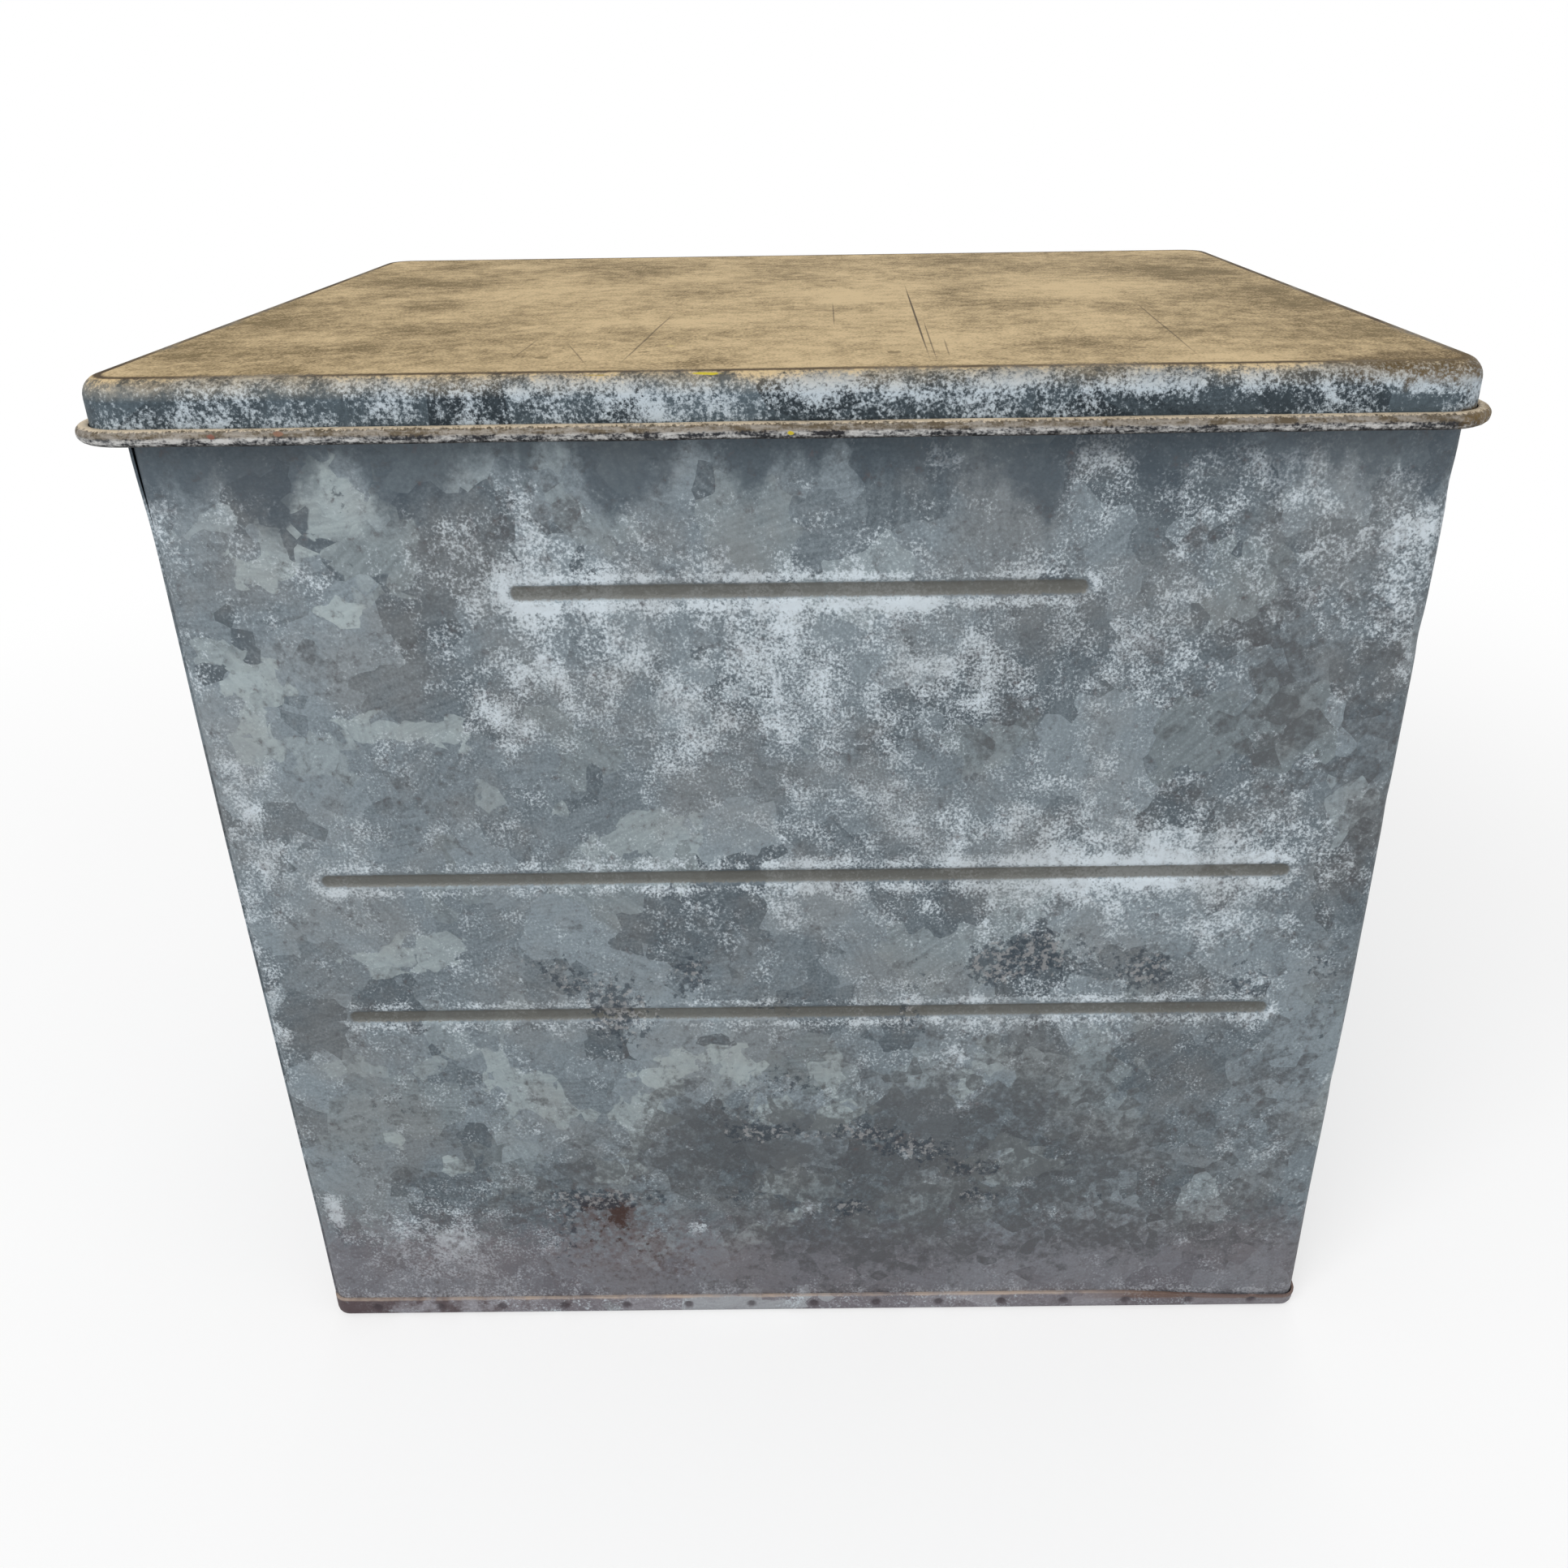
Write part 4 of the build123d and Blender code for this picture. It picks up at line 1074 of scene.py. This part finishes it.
class COOLER_OT_pan(bpy.types.Operator):
    """Fold the bottom pan and punch its stakes"""

    bl_idname = "cooler.pan"
    bl_label = "Bottom pan"
    bl_options = {"REGISTER", "UNDO"}

    def execute(self, context):
        make_pan(context)
        return {"FINISHED"}


def make_liner(context):
    finish = context.scene.cooler_finish
    low, top, bend = liner_low.z, liner_high.z, 0.8 * MM
    # Rows along the sheet: half width, half depth, corner radius, height
    inner = (145.9 * MM, 113.9 * MM, 6.0 * MM)
    outer = (liner_high.x, liner_high.y, 4.55 * MM)
    rows = [(*inner, low + (top - bend - low) * k / 16) for k in range(17)]
    for a in (math.radians(30 * k) for k in range(1, 4)):
        out = bend * (1 - math.cos(a))
        rows.append((*(c + out for c in inner), top - bend * (1 - math.sin(a))))
    rows += [(*(i + (o - i) * k / 4 for i, o in zip(inner, outer)), top) for k in range(1, 4)]
    for a in (math.radians(30 * k) for k in range(4)):
        back = bend * (1 - math.sin(a))
        rows.append((*(c - back for c in outer), top - bend * (1 - math.cos(a))))
    rows += [(*outer, top - drop * MM) for drop in (3, 5.5)]
    grid, corner_turns = 9 * MM, 6
    across, along = share(spread(-0.14, 0.14, grid)), share(spread(-0.11, 0.11, grid))
    columns = plan_columns(across, along, across, along, corner_turns)
    sheet = Sheet()
    sheet.join([sheet.ring(columns, *row) for row in rows])
    for point, outward in zip(sheet.points, sheet.outward):
        free = smooth(point.z, 0.03, 0.09) * (1 - smooth(point.z, 0.25, 0.285))
        point += outward * 0.35 * MM * free * noise.noise(point / 0.07)
    piece = sheet.build("liner_sheet")
    thicken(piece, LINER_SHEET)
    liner = worn_zinc(
        "galvanised_steel_liner", finish, 0.15, "#7d878c", "#a3acb0", "#6f6a5e", 0.28, 0.55, 0.4)
    settle(piece, liner)
    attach(piece, "box")
    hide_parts("liner_walls")
    for name in ("liner_floor", "lid_liner_pan"):
        frame["nodes"][name].material_slots[0].material = liner


class COOLER_OT_liner(bpy.types.Operator):
    """Form the liner's walls and mouth flange, and finish its floor and the lid's inner pan"""

    bl_idname = "cooler.liner"
    bl_label = "Liner"
    bl_options = {"REGISTER", "UNDO"}

    def execute(self, context):
        make_liner(context)
        return {"FINISHED"}


def board_material(finish):
    """Fibre board, pressed from brown pulp.

    The eye gets its short fibres as flecks 3 mm long and 1 mm thick, coarser than they are, so that
    they show."""
    material, tree, place = new_material("fibre_board_pressed")
    stretched = node(tree, "VectorMath", (place, (300, 300, 900)), operation="MULTIPLY")
    fibre = node(tree, "TexNoise", (stretched, 1.0, 4.0))
    blotch = node(tree, "TexNoise", (place, 1 / (40 * MM), 2.0))
    coat = lay(tree, "#6d5438", finish.board, 0.7, 1.0, 1.0, fibre, (blotch, 1.0))
    close_material(tree, coat, 0.9, 0.0, fibre, 0.5, 0.2)
    return material


class COOLER_OT_boards(bpy.types.Operator):
    """Give the insulation boards their fibre"""

    bl_idname = "cooler.boards"
    bl_label = "Insulation boards"
    bl_options = {"REGISTER", "UNDO"}

    def execute(self, context):
        material = board_material(context.scene.cooler_finish)
        for name, piece in frame["nodes"].items():
            if "insulation" in name:
                piece.material_slots[0].material = material
        return {"FINISHED"}


def rusty_wire_material():
    """Iron wire, drawn.

    The eye gets dark oxide with orange rust in blots 2 mm across."""
    material, tree, place = new_material("iron_wire_drawn")
    blots = node(tree, "TexNoise", (place, 1 / (2 * MM), 4.0, 0.7))
    coat = lay(tree, "#3d3835", "#6b4630", 0.4, 0.65, 1.0, blots)
    metal = amount(tree, 0.4, 0.6, 0.1, blots, least=0.7)
    close_material(tree, coat, 0.6, metal, blots, 0.6, 0.1)
    return material


def wire_tree(material, inputs):
    """A closed wire bent round the lid: a rounded rectangle with a round section."""
    tree, given = shape_tree("wire_round_the_lid", inputs)
    loop = node(
        tree, "GeometryNodeCurvePrimitiveQuadrilateral",
        {"Width": given["Width"], "Height": given["Depth"]})
    rounded = node(
        tree, "GeometryNodeFilletCurve",
        {"Curve": loop, "Radius": given["Corner radius"], "Count": 12}, mode="POLY")
    thickness = node(tree, "Math", (given["Diameter"], 0.5), operation="MULTIPLY")
    section = node(tree, "GeometryNodeCurvePrimitiveCircle", (16, thickness))
    wire = node(tree, "GeometryNodeCurveToMesh", {"Curve": rounded, "Profile Curve": section})
    lift = node(tree, "CombineXYZ", (given["Middle"], 0.0, given["Height"]))
    placed = node(tree, "GeometryNodeTransform", {"Geometry": wire, "Translation": lift})
    return end_tree(tree, placed, material)


def make_wire(context):
    sizes = context.scene.cooler_sizes
    off = sizes.wire / 2 + CURL_GAP
    piece = Sheet().build("lid_rod")
    run_tree(piece, wire_tree, rusty_wire_material(), {
        "Width": sizes.lid_width + 2 * off, "Depth": sizes.lid_depth + 2 * off,
        "Corner radius": sizes.lid_corner + off, "Diameter": sizes.wire,
        "Middle": LID_MIDDLE, "Height": HINGE[2]})
    settle(piece)
    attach(piece, "lid")
    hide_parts("lid_wire")


class COOLER_OT_wire(bpy.types.Operator):
    """Bend the wire that stiffens the lid's edge and serves as the hinge pin"""

    bl_idname = "cooler.wire"
    bl_label = "Lid wire"
    bl_options = {"REGISTER", "UNDO"}

    def execute(self, context):
        make_wire(context)
        return {"FINISHED"}


def strap_path(sizes):
    """The strap's outer face as depth and height, from its foot up and round the wire."""
    wall = sizes.body_depth / 2 + sizes.strap_sheet
    _, axis_y, axis_z = HINGE
    curl = sizes.wire / 2 + CURL_GAP
    neck = axis_y - curl
    path = [(wall, axis_z - drop * MM) for drop in (37, 30, 20)]
    for t in (k / 12 for k in range(13)):
        path.append((wall + (neck - wall) * smooth(t, 0, 1), axis_z - (18 - 15 * t) * MM))
    for a in (math.radians(180 - STRAP_SWEEP * k / 25) for k in range(26)):
        path.append((axis_y + curl * math.cos(a), axis_z + curl * math.sin(a)))
    return path


def make_straps(context):
    sizes, finish = context.scene.cooler_sizes, context.scene.cooler_finish
    material = worn_zinc(
        "galvanised_strip_bent", finish, 0.35, "#5f686d", "#7d868b", "#5d4f45", 0.4)
    for side, middle in (("left", -sizes.strap_spacing / 2), ("right", sizes.strap_spacing / 2)):
        sheet = Sheet()
        sheet.join_open([
            sheet.row([(middle + sizes.strap_width * (k / 6 - 0.5), y, z) for k in range(7)])
            for y, z in strap_path(sizes)])
        piece = sheet.build("strap_" + side)
        thicken(piece, sizes.strap_sheet)
        edges = piece.modifiers.new("edges", "BEVEL")
        edges.width, edges.segments, edges.limit_method = 0.18 * MM, 2, "ANGLE"
        edges.angle_limit = math.radians(50)
        settle(piece, material)
        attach(piece, "box")
        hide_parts("hinge_strap_" + side)


class COOLER_OT_straps(bpy.types.Operator):
    """Bend the two hinge straps"""

    bl_idname = "cooler.straps"
    bl_label = "Hinge straps"
    bl_options = {"REGISTER", "UNDO"}

    def execute(self, context):
        make_straps(context)
        return {"FINISHED"}


def rivet_tree(material, inputs):
    """Set one rivet at the four places of a grid on the back wall."""
    tree, given = shape_tree("rivets_in_straps", inputs)
    join = node(tree, "GeometryNodeJoinGeometry")
    for strap_side in (-0.5, 0.5):
        for rivet_side in (-0.5, 0.5):
            far = node(tree, "Math", (given["Strap spacing"], strap_side), operation="MULTIPLY")
            near = add_up(tree, far, (given["Rivet spacing"], rivet_side))
            spot = node(tree, "CombineXYZ", (near, given["Face"], given["Height"]))
            point = node(tree, "GeometryNodePoints", {"Count": 1, "Position": spot})
            tree.links.new(point.outputs[0], join.inputs[0])
    rivets = node(
        tree, "GeometryNodeInstanceOnPoints", {"Points": join, "Instance": given["Geometry"]})
    return end_tree(tree, rivets, material)


def make_rivets(context):
    sizes, finish = context.scene.cooler_sizes, context.scene.cooler_finish
    radius, rise = sizes.rivet_radius, sizes.rivet_rise
    # One hammered head, turned round the rivet's own line: radius and height of each row
    rows = [
        (radius * 0.5, -1.0 * MM), (radius * 0.98, -0.8 * MM), (radius, 0.1 * MM),
        (radius * 0.985, 0.28 * MM)]
    for a in (math.radians(15 * k) for k in range(1, 7)):
        rows.append((
            radius * 0.94 * math.cos(a * 0.97), 0.35 * MM + (rise - 0.38 * MM) * math.sin(a)))
    sheet, rings = Sheet(), []
    turns = [2 * math.pi * k / 28 for k in range(28)]
    for r, y in rows:
        # The head is beaten a little out of round
        beat = [1 + 0.02 * ripple(math.cos(a), math.sin(a), y * 900, 1) for a in turns]
        rings.append(sheet.row([
            (r * b * math.cos(a), y, r * b * math.sin(a)) for a, b in zip(turns, beat)]))
    sheet.join(rings)
    sheet.faces += [tuple(rings[0]), tuple(reversed(rings[-1]))]
    sheet.flip()
    piece = sheet.build("strap_rivets")
    material = worn_zinc(
        "tinned_steel_hammered", finish, 0.05, "#63686b", "#85898b", "#5d4432", 0.5, 0.6, 0.4)
    run_tree(piece, rivet_tree, material, {
        "Strap spacing": sizes.strap_spacing, "Rivet spacing": sizes.rivet_spacing,
        "Face": sizes.body_depth / 2 + sizes.strap_sheet, "Height": HINGE[2] - RIVET_DROP})
    settle(piece)
    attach(piece, "box")
    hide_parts("hinge_rivets_left", "hinge_rivets_right")


class COOLER_OT_rivets(bpy.types.Operator):
    """Set the straps' rivets"""

    bl_idname = "cooler.rivets"
    bl_label = "Rivets"
    bl_options = {"REGISTER", "UNDO"}

    def execute(self, context):
        make_rivets(context)
        return {"FINISHED"}


def camera_matrix():
    """The place and turn of the camera that took the photograph, fitted to the box's edges."""
    yaw, pitch, roll = -0.0055, 0.4706, -0.0149
    ahead = Vector((
        math.sin(yaw) * math.cos(pitch), math.cos(yaw) * math.cos(pitch), -math.sin(pitch)))
    level = Vector((math.cos(yaw), -math.sin(yaw), 0))
    above = level.cross(ahead)
    right = math.cos(roll) * level + math.sin(roll) * above
    up = -math.sin(roll) * level + math.cos(roll) * above
    turn = Matrix((right, up, -ahead)).transposed().to_4x4()
    eye = (0.00629, -0.45065, 0.35937)
    return Matrix.Translation(eye) @ turn


def make_camera(scene):
    view = bpy.data.cameras.new("camera")
    view.sensor_width, view.lens = 36, 31.04
    view.shift_x, view.shift_y = -0.0229, 0.0040
    view.clip_start, view.clip_end = 0.01, 100
    scene.camera = bpy.data.objects.new("camera", view)
    scene.camera.matrix_world = camera_matrix()
    scene.collection.objects.link(scene.camera)
    scene.view_settings.view_transform = "Standard"


def make_lights(scene):
    for name, place, reach, power in (
        ("key_lamp", (-1.3, -1.9, 1.9), 1.6, 40),
        ("fill_lamp", (1.9, -1.6, 0.9), 1.8, 10),
        ("back_lamp", (0.4, 2.2, 1.5), 1.6, 10),
    ):
        lamp = bpy.data.lights.new(name, "AREA")
        lamp.size, lamp.energy = reach, power
        light = bpy.data.objects.new(name, lamp)
        light.location = place
        aim = Vector((0, 0, 0.15)) - light.location
        light.rotation_euler = aim.to_track_quat("-Z", "Y").to_euler()
        scene.collection.objects.link(light)
    # The sky lights the cooler at half the strength that the camera and reflections see
    scene.world = bpy.data.worlds.new("studio")
    scene.world.use_nodes = True
    tree = scene.world.node_tree
    tree.nodes.clear()
    path = node(tree, "LightPath").outputs
    seen = strongest(
        tree, [path["Is " + kind + " Ray"] for kind in ("Camera", "Glossy", "Transmission")])
    sky = node(tree, "Background", ("#ffffff", amount(tree, 0.0, 1.0, 1.0, seen, least=0.5)))
    node(tree, "OutputWorld", (sky,))


def make_floor(scene):
    """A white paper floor that keeps the cooler's shadow, and is plain white further out."""
    mesh = bpy.data.meshes.new("floor")
    turns = [k * math.pi / 24 for k in range(48)]
    mesh.from_pydata([
        (FLOOR_REACH * math.cos(a), FLOOR_REACH * math.sin(a), -FLOOR_DROP) for a in turns
    ], [], [range(48)])
    floor = bpy.data.objects.new("floor", mesh)
    scene.collection.objects.link(floor)
    paper, tree, place = new_material("white_paper_floor")
    away = node(tree, "VectorMath", (place,), operation="LENGTH")
    near = amount(tree, 0.9, 0.35, 1.0, away, soft=True)
    shadowed = node(tree, "BsdfDiffuse", ((0.45,) * 3,))
    close = node(tree, "AddShader", (shadowed, node(tree, "Emission", ("#ffffff", 0.58))))
    white = node(tree, "Emission", ("#ffffff", 1.0))
    shown = node(tree, "MixShader", (near, white, close))
    plain = node(tree, "BsdfDiffuse", ((0.8,) * 3,))
    seen = node(tree, "LightPath").outputs["Is Camera Ray"]
    node(tree, "OutputMaterial", (node(tree, "MixShader", (seen, plain, shown)),))
    mesh.materials.append(paper)


class COOLER_OT_stage(bpy.types.Operator):
    """Set up the camera, the soft lamps and the white floor"""

    bl_idname = "cooler.stage"
    bl_label = "Stage"
    bl_options = {"REGISTER", "UNDO"}

    def execute(self, context):
        make_camera(context.scene)
        make_lights(context.scene)
        make_floor(context.scene)
        return {"FINISHED"}


class COOLER_PT_panel(bpy.types.Panel):
    """The cooler's pieces in the sidebar"""

    bl_idname = "COOLER_PT_panel"
    bl_label = "Milk Cooler"
    bl_space_type = "VIEW_3D"
    bl_region_type = "UI"
    bl_category = "Milk Cooler"

    def draw(self, context):
        for operator in OPERATORS:
            self.layout.operator(operator.bl_idname)
        for group in (context.scene.cooler_sizes, context.scene.cooler_finish):
            column = self.layout.column()
            for name in group.__annotations__:
                column.prop(group, name)


OPERATORS = (
    COOLER_OT_stage, COOLER_OT_body, COOLER_OT_pan, COOLER_OT_liner, COOLER_OT_boards,
    COOLER_OT_lid, COOLER_OT_wire, COOLER_OT_straps, COOLER_OT_rivets,
)
CLASSES = (CoolerSizes, CoolerFinish, *OPERATORS, COOLER_PT_panel)


def register():
    for kind in CLASSES:
        bpy.utils.register_class(kind)
    bpy.types.Scene.cooler_sizes = PointerProperty(type=CoolerSizes)
    bpy.types.Scene.cooler_finish = PointerProperty(type=CoolerFinish)


def unregister():
    del bpy.types.Scene.cooler_finish
    del bpy.types.Scene.cooler_sizes
    for kind in reversed(CLASSES):
        bpy.utils.unregister_class(kind)


def main():
    register()
    bpy.ops.cooler.stage()
    bpy.ops.cooler.body()
    bpy.ops.cooler.pan()
    bpy.ops.cooler.liner()
    bpy.ops.cooler.boards()
    bpy.ops.cooler.lid()
    bpy.ops.cooler.wire()
    bpy.ops.cooler.straps()
    bpy.ops.cooler.rivets()


if __name__ == "__main__":
    main()
